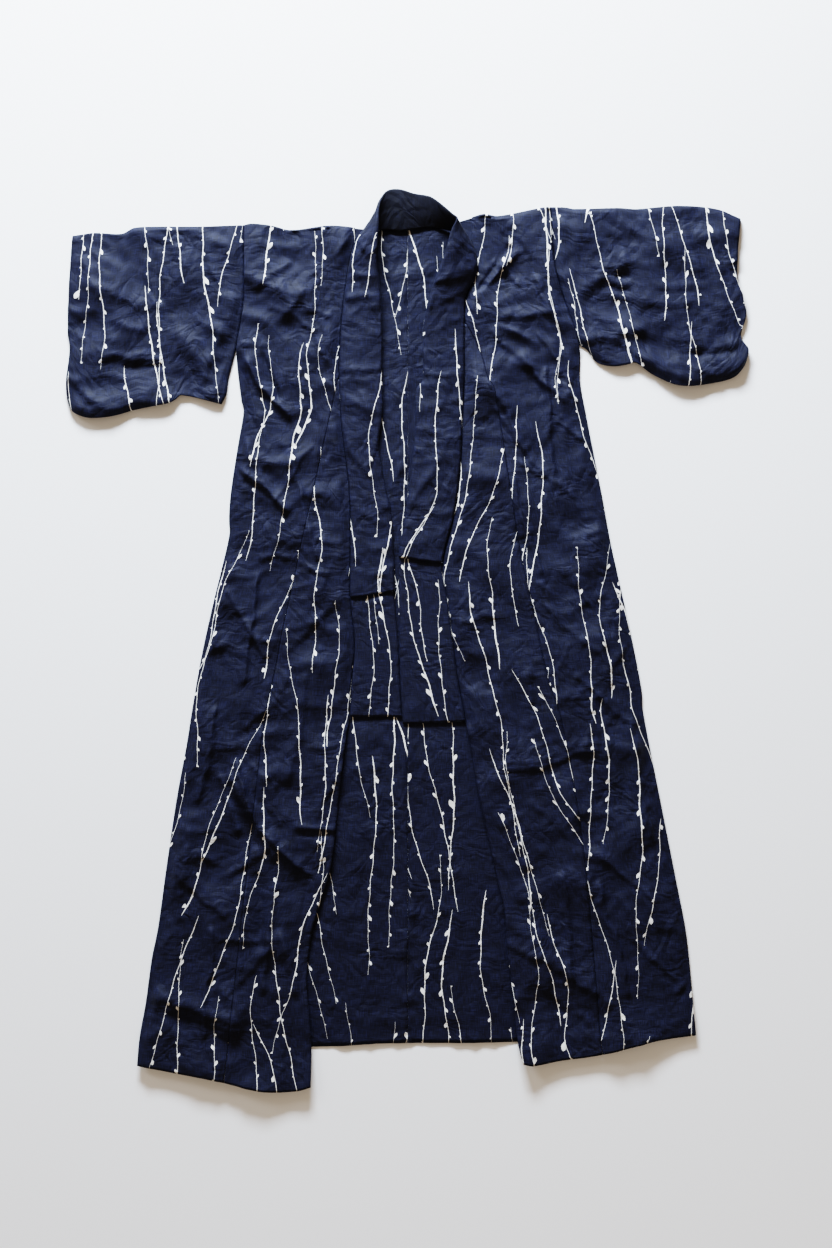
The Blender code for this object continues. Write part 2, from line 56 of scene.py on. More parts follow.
# The two lengths of body cloth: plain-weave cotton that runs up the back, over the shoulder, down the front.
# They meet in the centre-back seam. Each carries a sleeve, the collar at its neck and an overlap panel.
# Plan sizes are millimetres from the middle of the shoulders; heights are from the floor.
MM = 0.001
PLAN_CENTRE = (-1.0, 1.6)
WALL = 1.3  # the frame's layer, seam allowances and all
CLOTH = 0.7  # the cloth itself
HEM_CLOTH = 1.25  # turned twice and stitched
HEM_DEPTH = 15.0
LAYER_GAP = 0.5
SEAM_GAP = 0.3
COLLAR_SEAM_GAP = 1.0
BACK_Z = WALL / 2
FRONT_Z = BACK_Z + WALL + LAYER_GAP
TURN_ANGLES = (-90, -60, -30, 0, 30, 60, 90)
PANEL_STEPS = 70
BACK_CROWD = 1.6
FRONT_PITCH = 4.5
BACK_PITCH = 8.0
NECK_CLEAR = 8.0
CENTRE_START = 722.0
EDGE_TAPER = 22.0
HEM_RISE = 6.5
HEM_REACH = 130.0
# Columns: distance below the shoulder, share of its curve
SHOULDER_EASE = [(0, 1.0), (40, 0.5), (80, 0.15), (120, 0.0)]
HEM_EASE = 184.0  # a hem's curve dies out over this length
HEM_WAVE = 0.35  # a front's hem stands off the floor unevenly, by this share of HEM_RISE
GROOVE_DEPTH = 0.5  # a seam's line sinks in this far
OPENING_BLEND = 30  # the back's relief grows from nothing over this width

# Shoulder line from the sleeve seam to the neck. Columns: x, y
SHOULDER = {
    "left": [(-298, 757), (-284, 760), (-247, 756), (-213, 748), (-140, 756), (-82, 751)],
    "right": [(258, 790), (245, 789), (164, 773), (138, 777), (106, 768)],
}
# Side of the body from the shoulder past the underarm to the front hem. Columns: x, y
SIDE = {
    "left": [
        (-298, 757), (-298, 621), (-311, 534), (-311, 512), (-302, 436), (-298, 421), (-309, 354),
        (-322, 268), (-325, 221), (-324, 196), (-340, 125), (-356, 59), (-375, -28), (-391, -119),
        (-402, -188), (-420, -286), (-439, -413), (-454, -521), (-465, -575), (-476, -655), (-487, -719),
        (-491, -770),
    ],
    "right": [
        (258, 790), (267, 676), (311, 539), (313, 472), (322, 421), (338, 339), (353, 263), (368, 181),
        (382, 118), (405, 14), (425, -90), (427, -125), (458, -285), (487, -432), (507, -539), (523, -715),
    ],
}
UNDERARM = {"left": 534, "right": 539}
ARM_BEND = {"left": 621, "right": 676}  # where the sleeve seam turns
# Seam between a body front and its overlap panel, from its tip to the hem. Columns: x, y
OVERLAP_SEAM = {
    "left": [
        (-127, 476), (-227, 21), (-238, -39), (-253, -108), (-263, -161), (-273, -246), (-333, -797),
    ],
    "right": [
        (106, 577), (125, 541), (135, 516), (145, 479), (158, 456), (203, 172), (231, 45), (255, -70),
        (280, -146), (318, -364), (353, -750),
    ],
}
# Free front edge below the collar, down to the hem. Columns: x, y
FRONT_EDGE = {
    "left": [
        (-109, -155), (-116, -204), (-127, -301), (-131, -341), (-138, -399), (-145, -432), (-173, -521),
        (-182, -586), (-184, -624), (-180, -666), (-175, -737), (-176, -808),
    ],
    "right": [
        (115, -195), (125, -257), (136, -310), (165, -442), (176, -490), (180, -557), (187, -611),
        (193, -666), (200, -730), (209, -766),
    ],
}
# Front hem from the side to the front edge. Columns: x, y
FRONT_HEM = {
    "left": [
        (-491, -770), (-452, -777), (-416, -784), (-380, -790), (-325, -802), (-280, -813), (-244, -817),
        (-200, -815), (-176, -808),
    ],
    "right": [(523, -715), (453, -724), (416, -733), (345, -751), (273, -761), (229, -769), (209, -766)],
}
# Back hem from the side to the centre seam. Columns: x, y
BACK_HEM = {
    "left": [(-488, -735), (-175, -737), (-128, -736), (-56, -731), (0, -730)],
    "right": [(518, -700), (345, -728), (198, -728), (93, -730), (0, -730)],
}
# Rows of the back that end along its neck edge, from the shoulder down.
# Columns: y at the side, neck edge x, y
BACK_NECK = {
    "left": [(740, -60, 747), (732, -45, 747.5), (724, -30, 748), (716, -15, 748.5), (708, 0, 749)],
    "right": [(775, 84, 760), (765, 62, 757), (755, 36, 754), (745, 18, 751), (735, 0, 749)],
}
# Collar stations from the left end, over the neck, to the right end, and how they stand.
# Columns: sewn edge x, y, z, free edge x, y, z, bulge between them
COLLAR = [
    (-105, -137, 3.9, -11, -137, 3.9, 0.0),
    (-102, -79, 3.9, -15, -79, 3.9, 1.0),
    (-96, -4, 3.9, -18, -4, 3.9, 1.0),
    (-104, 78, 3.9, -25, 90, 3.9, 0.5),
    (-104, 158, 3.9, -27, 158, 3.9, 1.5),
    (-104, 238, 3.9, -33, 238, 4.2, 2.0),
    (-107, 288, 3.9, -44, 288, 5.5, 2.5),
    (-115, 354, 3.9, -55, 354, 8.0, 2.0),
    (-120, 390, 3.9, -51, 390, 8.5, 2.0),
    (-122, 427, 3.9, -47, 427, 9.0, 2.5),
    (-124, 497, 4.0, -49, 490, 9.5, 3.0),
    (-120, 581, 4.0, -49, 581, 13.0, 3.0),
    (-113, 639, 4.3, -53, 648, 19.0, 3.5),
    (-105, 688, 4.6, -58, 688, 27.0, 4.0),
    (-95, 725, 5.0, -56, 721, 32.0, 4.5),
    (-82, 745, 5.0, -54, 752, 33.0, 4.0),
    (-73, 750, 5.0, -53, 781, 30.0, 3.0),
    (-55, 747, 5.0, -47, 801, 23.0, 2.5),
    (-36, 747, 5.0, -35, 815, 18.0, 2.0),
    (-18, 745, 5.0, -15, 817, 17.0, 2.0),
    (7, 748, 5.0, 11, 809, 18.0, 2.0),
    (36, 752, 5.0, 40, 803, 21.0, 2.0),
    (62, 750, 5.0, 60, 788, 27.0, 2.5),
    (84, 745, 5.0, 80, 770, 32.0, 3.0),
    (102, 741, 5.0, 89, 761, 34.0, 4.0),
    (115, 723, 5.0, 80, 741, 33.0, 4.5),
    (124, 699, 5.0, 69, 701, 29.0, 5.0),
    (125, 670, 4.6, 56, 668, 23.0, 5.0),
    (105, 628, 4.3, 42, 628, 16.0, 4.0),
    (102, 577, 4.0, 31, 577, 10.0, 2.5),
    (102, 523, 3.9, 29, 523, 6.0, 2.0),
    (102, 476, 3.9, 29, 476, 4.6, 2.0),
    (100, 439, 3.9, 16, 454, 4.2, 1.5),
    (98, 390, 3.9, 15, 390, 3.9, 1.5),
    (96, 336, 3.9, 13, 354, 3.9, 1.5),
    (85, 239, 3.9, 0, 248, 3.9, 2.0),
    (62, 138, 3.9, -15, 148, 3.9, 0.5),
    (71, 78, 3.9, -16, 78, 3.9, 1.0),
    (78, 25, 3.9, -15, 25, 3.9, 1.0),
    (91, -72, 3.9, -13, -72, 3.9, 1.0),
    (105, -146, 3.9, -9, -150, 3.9, 0.0),
]
COLLAR_EDGE = {"left": (14, 0), "right": (25, 40)}  # stations at each front, from the neck down

# Largest folds of the upper layer. Columns: from x, y, to x, y, height, half width
FRONT_FOLDS = [
    (140, 652, 206, 700, 7.0, 13), (150, 610, 235, 640, 2.5, 14), (195, 735, 280, 655, 3.0, 16),
    (313, 545, 430, 566, 6.0, 11), (311, 632, 409, 690, 5.0, 13), (364, 623, 524, 608, 5.0, 12),
    (470, 548, 602, 545, 4.0, 10), (345, 590, 455, 552, 4.0, 12), (430, 516, 560, 478, 5.0, 16),
    (415, 700, 560, 735, 4.0, 20), (300, 735, 400, 742, 3.5, 16), (560, 690, 575, 600, 3.0, 18),
    (-470, 700, -430, 610, 4.0, 14), (-565, 520, -470, 516, 4.0, 11), (-560, 640, -480, 600, 3.5, 18),
    (-350, 680, -325, 580, 4.0, 14), (-420, 560, -350, 470, 4.0, 18), (-545, 440, -450, 460, 3.0, 16),
    (-400, 720, -380, 620, 3.0, 18), (-255, 700, -175, 500, 3.5, 20), (-190, 640, -150, 560, 2.5, 14),
    (-290, 480, -240, 300, 3.0, 20), (-200, 420, -240, 150, 3.0, 22), (-325, 190, -408, -285, 5.5, 13),
    (-150, 200, -170, -150, 3.0, 18), (-240, 60, -330, -220, 3.0, 26), (-330, -215, -190, -420, 4.5, 18),
    (-400, -330, -440, -740, 4.5, 26), (-300, -440, -320, -780, 4.5, 24), (-220, -500, -225, -800, 4.0, 18),
    (-469, -640, -300, -686, 3.0, 12), (170, 480, 225, 250, 3.0, 20), (255, 620, 290, 350, 3.5, 18),
    (285, 376, 331, 356, 2.5, 10), (300, 190, 364, 204, 2.5, 10), (240, 130, 330, -160, 3.5, 26),
    (360, 60, 430, -260, 4.0, 22), (150, -90, 190, -330, 3.0, 16), (173, -228, 349, -185, 3.0, 10),
    (300, -260, 330, -560, 4.0, 24), (420, -330, 470, -640, 4.0, 22), (230, -440, 260, -740, 4.0, 20),
    (180, -540, 340, -620, 3.0, 22), (360, -560, 400, -720, 3.5, 18),
]
# Folds of the back where it shows. Columns as above
BACK_FOLDS = [
    (-4, 560, 4, 330, 1.2, 9), (-8, -190, 4, -500, 2.0, 9),
    (6, -480, -4, -715, 2.2, 10), (-70, -230, -90, -420, 2.5, 14), (62, -220, 84, -470, 2.5, 15),
    (-110, -480, -60, -640, 2.5, 16), (120, -520, 70, -690, 2.5, 16), (-120, -690, 150, -688, 1.6, 14),
]
# Narrower creases in the fronts. Columns: from x, y, to x, y, height, half width
FRONT_CREASES = [
    (-269, 154, -207, 147, 1.3, 4), (-204, 139, -142, 121, 1.3, 4), (-189, 599, -136, 597, 1.3, 4),
    (-307, 536, -249, 536, 1.3, 4), (-318, -215, -283, -310, 2.4, 7), (-276, -335, -176, -428, 2.6, 7),
    (-345, -240, -305, -345, 2.0, 8), (-204, -340, -135, -340, 2.0, 5), (-204, -356, -135, -352, -1.2, 5),
    (285, 384, 331, 362, 1.6, 5), (316, 186, 364, 200, 1.4, 5), (173, -240, 349, -197, 1.6, 5),
    (180, -545, 349, -640, 1.6, 9), (-460, -662, -300, -706, 1.2, 6), (205, 640, 150, 690, 1.8, 6),
    (127, 646, 190, 712, -4.2, 6), (-280, 640, -215, 690, 1.3, 6), (-250, 610, -170, 560, 1.2, 6),
    (-300, 380, -250, 260, 1.3, 7), (-170, 360, -240, 250, 1.2, 6), (160, 420, 250, 300, 1.2, 6),
    (230, 560, 300, 470, 1.4, 7), (200, 330, 300, 260, 1.1, 6), (-330, 90, -260, -30, 1.3, 8),
    (-210, -60, -290, -160, 1.2, 7), (-420, -420, -330, -500, 1.3, 8), (-250, -560, -330, -640, 1.2, 7),
    (250, 60, 350, -20, 1.2, 7), (300, -60, 410, -150, 1.4, 8), (210, -290, 300, -360, 1.2, 7),
    (330, -380, 450, -470, 1.3, 8), (400, -540, 490, -620, 1.2, 7), (230, -620, 330, -700, 1.2, 7),
    (-300, 505, -215, 400, 3.2, 9), (-307, 317, -218, 237, 3.4, 9), (-262, 520, -236, 440, -2.6, 8),
    (-210, 330, -165, 150, 2.4, 10), (-128, 392, -112, 336, 4.5, 11), (-270, 120, -300, -80, 2.4, 9),
    (-180, -60, -215, -260, 2.0, 9), (-350, -120, -375, -300, 2.4, 10), (-240, -440, -262, -640, 2.6, 9),
    (-350, -520, -372, -720, 2.4, 9), (250, 500, 268, 300, 2.2, 9), (190, 300, 240, 120, 2.2, 9),
    (310, 120, 372, -80, 2.4, 10), (215, -60, 262, -260, 2.2, 9), (400, -150, 446, -360, 2.4, 10),
    (280, -420, 300, -620, 2.6, 9), (350, -440, 400, -640, 2.2, 9), (290, 470, 312, 420, 2.4, 8),
    (150, 560, 250, 470, 1.8, 10), (165, 590, 300, 600, 1.6, 9), (200, 520, 290, 430, 1.8, 10),
    (150, 470, 215, 350, 1.6, 9), (235, 660, 285, 560, 2.0, 10), (-200, 640, -150, 500, 1.6, 10),
    (-476, -645, -300, -692, 3.4, 20), (-331, -236, -243, -390, 3.0, 15), (-296, -250, -226, -372, -2.4, 12),
    (-231, -530, -196, -635, 3.0, 12), (-272, -420, -262, -560, -2.4, 13), (322, 420, 345, 300, 2.2, 12),
    (-140, 60, -220, -20, 1.1, 6), (-120, -230, -175, -330, 1.2, 6), (130, -360, 210, -470, 1.2, 6),
]
# The slack cloth's facets. Columns: height, size, seed
FRONT_FACETS = [(5.2, 64, 71), (1.2, 26, 83)]
BACK_FACETS = [(2.4, 46, 91), (1.2, 22, 97)]
CRUMPLE_SEED = 41
CRUMPLES = 1700  # short soft creases from washing and storage, spread over the whole cloth
TENSION = [(-323, 470), (318, 478)]  # the underarms, which the cloth is drawn towards
TENSION_REACH = 150.0
STEEP, EASY = 0.58, 1.45  # a fold's two sides, as shares of its half width
CRUMPLE_STEEP, CRUMPLE_EASY = 0.62, 1.5
CRUMPLE_BOW = 0.12
CRUMPLE_WIDTHS = (3.4, 11.0)  # half widths, from and to
CRUMPLE_SHORTEST = 10  # half length
LYING_ACROSS = 0.2  # share of the crumples that run straight across
SUNKEN = -0.6  # one in three is a hollow, this deep for a ridge's height
CREASE_GAIN = 2.5  # the slack cloth's creases stand this much taller than the table says
SLACK = 2.6  # mean height of its slow swells
FLOOR_OF_CREASES = -0.5  # no crease of a front sinks lower, so that the layers stay apart
BACK_FLOOR = -0.2
CRUMPLE_SPAN = (-640, 640, -840, 820)  # plan box that they fall in: x, x, y, y


def soft(table, parts=6):
    """More points along a smooth line through a table's points."""
    points = np.array(table, float)
    span = np.linalg.norm(np.diff(points[:, :2], axis=0), axis=1)[:, None]
    inner_slopes = (points[2:] - points[:-2]) / (span[1:] + span[:-1])
    end_slopes = (points[1:] - points[:-1]) / span
    slope = np.concatenate([end_slopes[:1], inner_slopes, end_slopes[-1:]])
    share = (np.arange(parts) / parts)[None, :, None]
    start, end = points[:-1, None], points[1:, None]
    leave, arrive = (slope[:-1] * span)[:, None], (slope[1:] * span)[:, None]
    line = (
        start * (2 * share**3 - 3 * share**2 + 1) + leave * (share**3 - 2 * share**2 + share)
        + end * (3 * share**2 - 2 * share**3) + arrive * (share**3 - share**2)
    )
    return np.concatenate([line.reshape(-1, points.shape[1]), points[-1:]])


def curve(table, steps_y):
    """x on an edge at each given y; the table's y falls from row to row."""
    x, y = np.array(table, float).T
    return np.interp(-np.asarray(steps_y, float), -y, x)


def across(table, steps_x):
    """y on an edge at each given x."""
    x, y = np.array(sorted(map(tuple, table)), float).T
    return np.interp(steps_x, x, y)


def smooth(share):
    share = np.clip(share, 0, 1)
    return share * share * (3 - 2 * share)


def crest(share):
    """Profile of a pressed crease: a narrow rounded top and hollow flanks."""
    return np.exp(-1.5 * (np.sqrt(share**2 + 0.05) - 0.22))


def folds(table, x, y):
    """Summed height of ridges: each rises over its half width and dies out at its ends.

    A fold leans over towards the hem and the right, as the cloth was drawn down: that side is the steeper.
    """
    height = np.zeros_like(x)
    for x0, y0, x1, y1, high, half in table:
        length = np.hypot(x1 - x0, y1 - y0)
        along = ((x - x0) * (x1 - x0) + (y - y0) * (y1 - y0)) / length
        off = ((x - x0) * (y1 - y0) - (y - y0) * (x1 - x0)) / length
        leaning = math.copysign(1.0, 0.4 * (y1 - y0) + 0.9 * (x1 - x0))
        half_here = half * np.where(off * leaning > 0, STEEP, EASY)
        ends = smooth((along + half) / (2 * half)) * smooth((length + half - along) / (2 * half))
        height += high * ends * crest(off / half_here)
    return height


def crumples(x, y):
    """Summed height of the short creases near each point. Each is steep on one side, easy on the other."""
    shape = x.shape
    x, y = x.ravel(), y.ravel()
    height = np.zeros_like(x)
    order = np.argsort(x)
    in_order = x[order]
    for cx, cy, dx, dy, half_length, half_width, high in CRUMPLE_LINES:
        reach = half_length * abs(dx) + 3.5 * half_width
        near = order[np.searchsorted(in_order, cx - reach) : np.searchsorted(in_order, cx + reach)]
        near = near[np.abs(y[near] - cy) < half_length * abs(dy) + 3.5 * half_width]
        along = (x[near] - cx) * dx + (y[near] - cy) * dy
        bow = CRUMPLE_BOW * along**2 / half_length
        off = (x[near] - cx) * dy - (y[near] - cy) * dx + bow
        width = half_width * np.where(off > 0, CRUMPLE_STEEP, CRUMPLE_EASY)
        height[near] += high * crest(off / width) * np.clip(1 - (along / half_length) ** 2, 0, None)
    return height.reshape(shape)


def sway(x, y, size, seed):
    """A slow even wander between about -1 and 1, with humps of about the given size."""
    chance = np.random.RandomState(seed)
    total = np.zeros_like(x)
    for _ in range(7):
        angle, phase = chance.uniform(0, 2 * math.pi, 2)
        pitch = size * chance.uniform(1.4, 2.6)
        total += np.sin((x * math.cos(angle) + y * math.sin(angle)) * 2 * math.pi / pitch + phase)
    return total / 3.2


def crumple_table():
    """Short creases at chance places. Neighbours run alike, some lie across, some point to an underarm."""
    chance = np.random.RandomState(CRUMPLE_SEED)
    x0, x1, y0, y1 = CRUMPLE_SPAN
    x, y = chance.uniform(x0, x1, CRUMPLES), chance.uniform(y0, y1, CRUMPLES)
    turn_by = 1.57 + 1.1 * sway(x, y, 190, 61) + chance.normal(0, 0.3, CRUMPLES)  # angle from across
    across_here = chance.uniform(0, 1, CRUMPLES) < LYING_ACROSS
    turn_by = np.where(across_here, chance.normal(0, 0.2, CRUMPLES), turn_by)
    for at_x, at_y in TENSION:
        pull = np.exp(-((x - at_x) ** 2 + (y - at_y) ** 2) / TENSION_REACH**2)
        near = pull > chance.uniform(0, 1, CRUMPLES)
        turn_by = np.where(near, np.arctan2(y - at_y, x - at_x) + chance.normal(0, 0.15, CRUMPLES), turn_by)
    half_length = chance.gamma(3.0, 9.0, CRUMPLES) + CRUMPLE_SHORTEST
    half_width = chance.uniform(*CRUMPLE_WIDTHS, CRUMPLES)
    high = half_width * chance.gamma(2.2, 0.075, CRUMPLES) * chance.choice([1, 1, SUNKEN], CRUMPLES)
    return np.stack([x, y, np.cos(turn_by), np.sin(turn_by), half_length, half_width, high], -1)


CRUMPLE_LINES = crumple_table()


def facets(table, x, y):
    """Slack cloth's own relief: flat facets of about the given size between long crooked ridges."""
    height = np.zeros_like(x)
    for high, size, seed in table:
        calm = smooth(0.62 + 0.6 * sway(x, y, 120, seed + 50))
        height += high * (1 - np.sqrt(np.clip(sway(x, y, size, seed) ** 2, 0, 1) + 0.006)) * calm
    return height


def wandered(x, y):
    """Plan points shifted a little, so that no crease runs dead straight."""
    return [at + 5 * sway(x, y, 70, seed) + 1.6 * sway(x, y, 21, seed + 2) for at, seed in ((x, 3), (y, 4))]


def groove(distance, reach):
    """Depth of a seam's sunk line."""
    return GROOVE_DEPTH * np.exp(-((distance / reach) ** 2))


def puckers(distance, along, seed, reach=13.0, high=0.55):
    """Small ripples square to a seam, drawn up by its thread."""
    beat = sway(along, along * 0, 13, seed) * (0.6 + 0.4 * sway(along, along * 0, 60, seed + 1))
    return high * beat * np.exp(-((distance / reach) ** 2))


SOFT_COLLAR_PARTS = 6  # smoothed stations for each one of the collar's table
SHOULDER, SIDE, OVERLAP_SEAM, FRONT_EDGE, FRONT_HEM = (
    {side: soft(table) for side, table in edges.items()}
    for edges in (SHOULDER, SIDE, OVERLAP_SEAM, FRONT_EDGE, FRONT_HEM)
)
STATIONS = soft(COLLAR, SOFT_COLLAR_PARTS)


def collar_rows(side):
    first, last = (station * SOFT_COLLAR_PARTS for station in COLLAR_EDGE[side])
    return STATIONS[first : last + 1] if last > first else STATIONS[last : first + 1][::-1]


def front_line(side):
    """The front's inner edge: the collar's sewn edge and then the free front edge."""
    return np.concatenate([collar_rows(side)[:, :2], FRONT_EDGE[side]])


def opening_edge(side):
    """Where a front ends over the back: the collar's free edge and then the free front edge."""
    return np.concatenate([collar_rows(side)[:, 3:5], FRONT_EDGE[side]])


FRONT_LINE = {side: front_line(side) for side in ("left", "right")}
OPENING = {side: opening_edge(side) for side in ("left", "right")}


def sign(side):
    return -1 if side == "left" else 1


def fine_height(side, x, y):
    """Creases, crumples and seam ripples that the cloth of a front has beyond its largest folds."""
    wx, wy = wandered(x, y)
    seam = np.abs(x - curve(OVERLAP_SEAM[side], y))
    below_tip = smooth((OVERLAP_SEAM[side][0][1] - y) / 30)
    return (
        CREASE_GAIN * folds(FRONT_CREASES, wx, wy) + crumples(x, y) + SLACK * (1 + sway(x, y, 75, 11))
        + facets(FRONT_FACETS, x, y) + (puckers(seam, y, 21) - groove(seam, 4)) * below_tip
    )


def front_height(side, x, y):
    """Middle of the upper layer above the floor."""
    wx, wy = wandered(x, y)
    from_collar = np.abs(x - curve(FRONT_LINE[side], y))
    above_collar_end = smooth((y - collar_rows(side)[-1][1] + EDGE_TAPER) / EDGE_TAPER)
    at_collar = 1 - above_collar_end * (1 - smooth(from_collar / EDGE_TAPER))
    from_side = np.abs(x - curve(SIDE[side], y))
    at_side = 1 - smooth((UNDERARM[side] - y) / EDGE_TAPER) * (1 - smooth(from_side / EDGE_TAPER))
    hem = across(FRONT_HEM[side], x)
    wave = 1 + HEM_WAVE * sway(x, y * 0, 60, 31)
    rise = HEM_RISE * wave * smooth(1 - (y - hem) / HEM_REACH) ** 1.5
    creased = folds(FRONT_FOLDS, wx, wy) + np.maximum(fine_height(side, x, y), FLOOR_OF_CREASES)
    return FRONT_Z + creased * at_collar * at_side + rise


def back_height(x, y):
    """Middle of the under layer. It creases only where it shows between the fronts."""
    from_left, from_right = x - curve(OPENING["left"], y), curve(OPENING["right"], y) - x
    shows = smooth(from_left / OPENING_BLEND) * smooth(from_right / OPENING_BLEND)
    wx, wy = wandered(x, y)
    seam = puckers(np.abs(x), y, 41, 16, 0.7) - groove(x, 3.5)
    fine = 0.4 + crumples(x + 17, y + 9) + seam + facets(BACK_FACETS, x, y)
    return BACK_Z + (folds(BACK_FOLDS, wx, wy) + np.maximum(fine, BACK_FLOOR)) * shows


def levels(side):
    """y of each row on the front's inner edge, from the neck to the hem."""
    stops = [SHOULDER[side][-1][1], OVERLAP_SEAM[side][0][1], FRONT_LINE[side][-1][1]]
    found = [stops[0]]
    for y in stops[1:]:
        found += list(np.linspace(found[-1], y, 1 + int(np.ceil((found[-1] - y) / FRONT_PITCH)))[1:])
    return np.array(found)


def near_row(rows, y):
    return int(np.abs(rows - y).argmin())


class Rows:
    """The rows of one side of the robe, shared by every piece that meets along them."""

    def __init__(self, side):
        self.edge_y = levels(side)
        self.tip = near_row(self.edge_y, OVERLAP_SEAM[side][0][1])
        tip_y = self.edge_y[self.tip]
        drop = (tip_y - self.edge_y) / (tip_y - self.edge_y[-1])
        top, low = SIDE[side][0][1], SIDE[side][-1][1]
        rising = tip_y + (self.edge_y - tip_y) * (top - tip_y) / (self.edge_y[0] - tip_y)
        self.side_y = np.where(drop < 0, rising, tip_y + (low - tip_y) * drop)
        self.seam_y = tip_y + (OVERLAP_SEAM[side][-1][1] - tip_y) * drop
        for y in (ARM_BEND[side], UNDERARM[side]):
            self.side_y[near_row(self.side_y, y)] = y
        self.under = near_row(self.side_y, UNDERARM[side])
        self.side = np.stack([curve(SIDE[side], self.side_y), self.side_y], -1)
        self.edge = np.stack([curve(FRONT_LINE[side], self.edge_y), self.edge_y], -1)
        self.seam = np.stack([curve(OVERLAP_SEAM[side], self.seam_y), self.seam_y], -1)


def sheet_rows(outer, inner, steps, crowd=1.0):
    """Straight rows between two edges."""
    share = 1 - np.linspace(1, 0, steps + 1)[None, :, None] ** crowd
    return outer[:, None] * (1 - share) + inner[:, None] * share


def bend_hem(grid, table):
    """Carries a curved hem into the rows above it."""
    off = across(table, grid[-1, :, 0]) - grid[-1, :, 1]
    share = np.clip(1 - (grid[..., 1] - grid[-1:, :, 1]) / HEM_EASE, 0, 1)
    grid[..., 1] += off * share
    return grid


def turn(top_xy, low_z, high_z, out):
    """The soft turn from the lower to the upper layer at an edge: middles and their outward directions."""
    radius = (high_z - low_z) / 2
    middle = (high_z + low_z) / 2
    centre = top_xy - out * (WALL / 2 + radius)[:, None]
    places, ways = [], []
    for angle in np.radians(TURN_ANGLES):
        flat = out * np.cos(angle)
        places.append(np.column_stack([centre + flat * radius[:, None], middle + radius * np.sin(angle)]))
        ways.append(np.column_stack([flat, np.full(len(out), np.sin(angle))]))
    return np.array(places), np.array(ways)


def with_height(grid, height, way):
    """Adds heights to a plan grid, with directions straight up (1) or down (-1)."""
    ways = np.zeros(grid.shape[:2] + (3,))
    ways[..., 2] = way
    return np.concatenate([grid, height[..., None]], -1), ways


def hem_cloth(distance):
    """Thickness of the cloth at a distance from a turned and stitched hem."""
    return CLOTH + (HEM_CLOTH - CLOTH) * smooth((HEM_DEPTH - distance) / 1.5 + 0.5)


def body(side):
    """One length of cloth: up the back from the hem, over the shoulder and down the front."""
    rows = Rows(side)
    s = sign(side)
    above = np.arange(len(rows.edge)) < rows.tip
    inner = np.where(above[:, None], rows.edge, rows.seam)
    inner[:, 0] += s * np.where(above, COLLAR_SEAM_GAP, SEAM_GAP / 2)
    front = sheet_rows(rows.side, inner, PANEL_STEPS)
    lift = across(SHOULDER[side], front[0, :, 0]) - front[0, :, 1]
    ease_at, ease = np.array(SHOULDER_EASE).T
    front[..., 1] += lift * np.interp(front[:1, :, 1] - front[..., 1], ease_at, ease)
    front = bend_hem(front, FRONT_HEM[side])
    high = front_height(side, front[..., 0], front[..., 1])
    out = np.tile([0.0, 1.0], (PANEL_STEPS + 1, 1))
    places, ways = turn(front[0], np.full(PANEL_STEPS + 1, BACK_Z), high[0], out)

    neck = soft(BACK_NECK[side], 3)
    neck[-1, 1] = s * SEAM_GAP / 2
    beside_neck = np.stack([curve(SIDE[side], neck[:, 0]), neck[:, 0]], -1)
    neck_rows = sheet_rows(beside_neck, neck[:, 1:], PANEL_STEPS)
    start_y = neck[-1, 0] - NECK_CLEAR
    low_y = across(BACK_HEM[side], SIDE[side][-1][0])
    back_y = np.linspace(start_y, low_y, 1 + int((start_y - low_y) / BACK_PITCH))
    side_edge = np.stack([curve(SIDE[side], back_y), back_y], -1)
    centre_y = np.linspace(CENTRE_START, BACK_HEM[side][-1][1], len(back_y))
    centre = np.stack([np.full(len(back_y), s * SEAM_GAP / 2), centre_y], -1)
    lower = bend_hem(sheet_rows(side_edge, centre, PANEL_STEPS, BACK_CROWD), BACK_HEM[side])
    back = np.concatenate([neck_rows, lower])[::-1]
    back_wall = hem_cloth(back[..., 1] - across(BACK_HEM[side], back[..., 0]))
    front_wall = hem_cloth(front[..., 1] - across(FRONT_HEM[side], front[..., 0]))
    corner_x, corner_y = SHOULDER[side][0]
    back_uv = np.stack([abs(corner_x) - s * back[..., 0], back[..., 1] - corner_y], -1)
    from_side = s * (curve(SIDE[side], front[..., 1]) - front[..., 0])
    front_uv = np.stack([from_side, corner_y - front[..., 1]], -1)
    turn_uv = np.repeat(front_uv[:1], len(places), 0)
    back, back_ways = with_height(back, back_height(back[..., 0], back[..., 1]), -1)
    front, front_ways = with_height(front, high, 1)
    return (
        np.concatenate([back, places, front[1:]]),
        np.concatenate([back_ways, ways, front_ways[1:]]),
        np.concatenate([back_wall, np.full(places.shape[:2], CLOTH), front_wall[1:]]),
        np.concatenate([back_uv, turn_uv, front_uv[1:]]),
    )


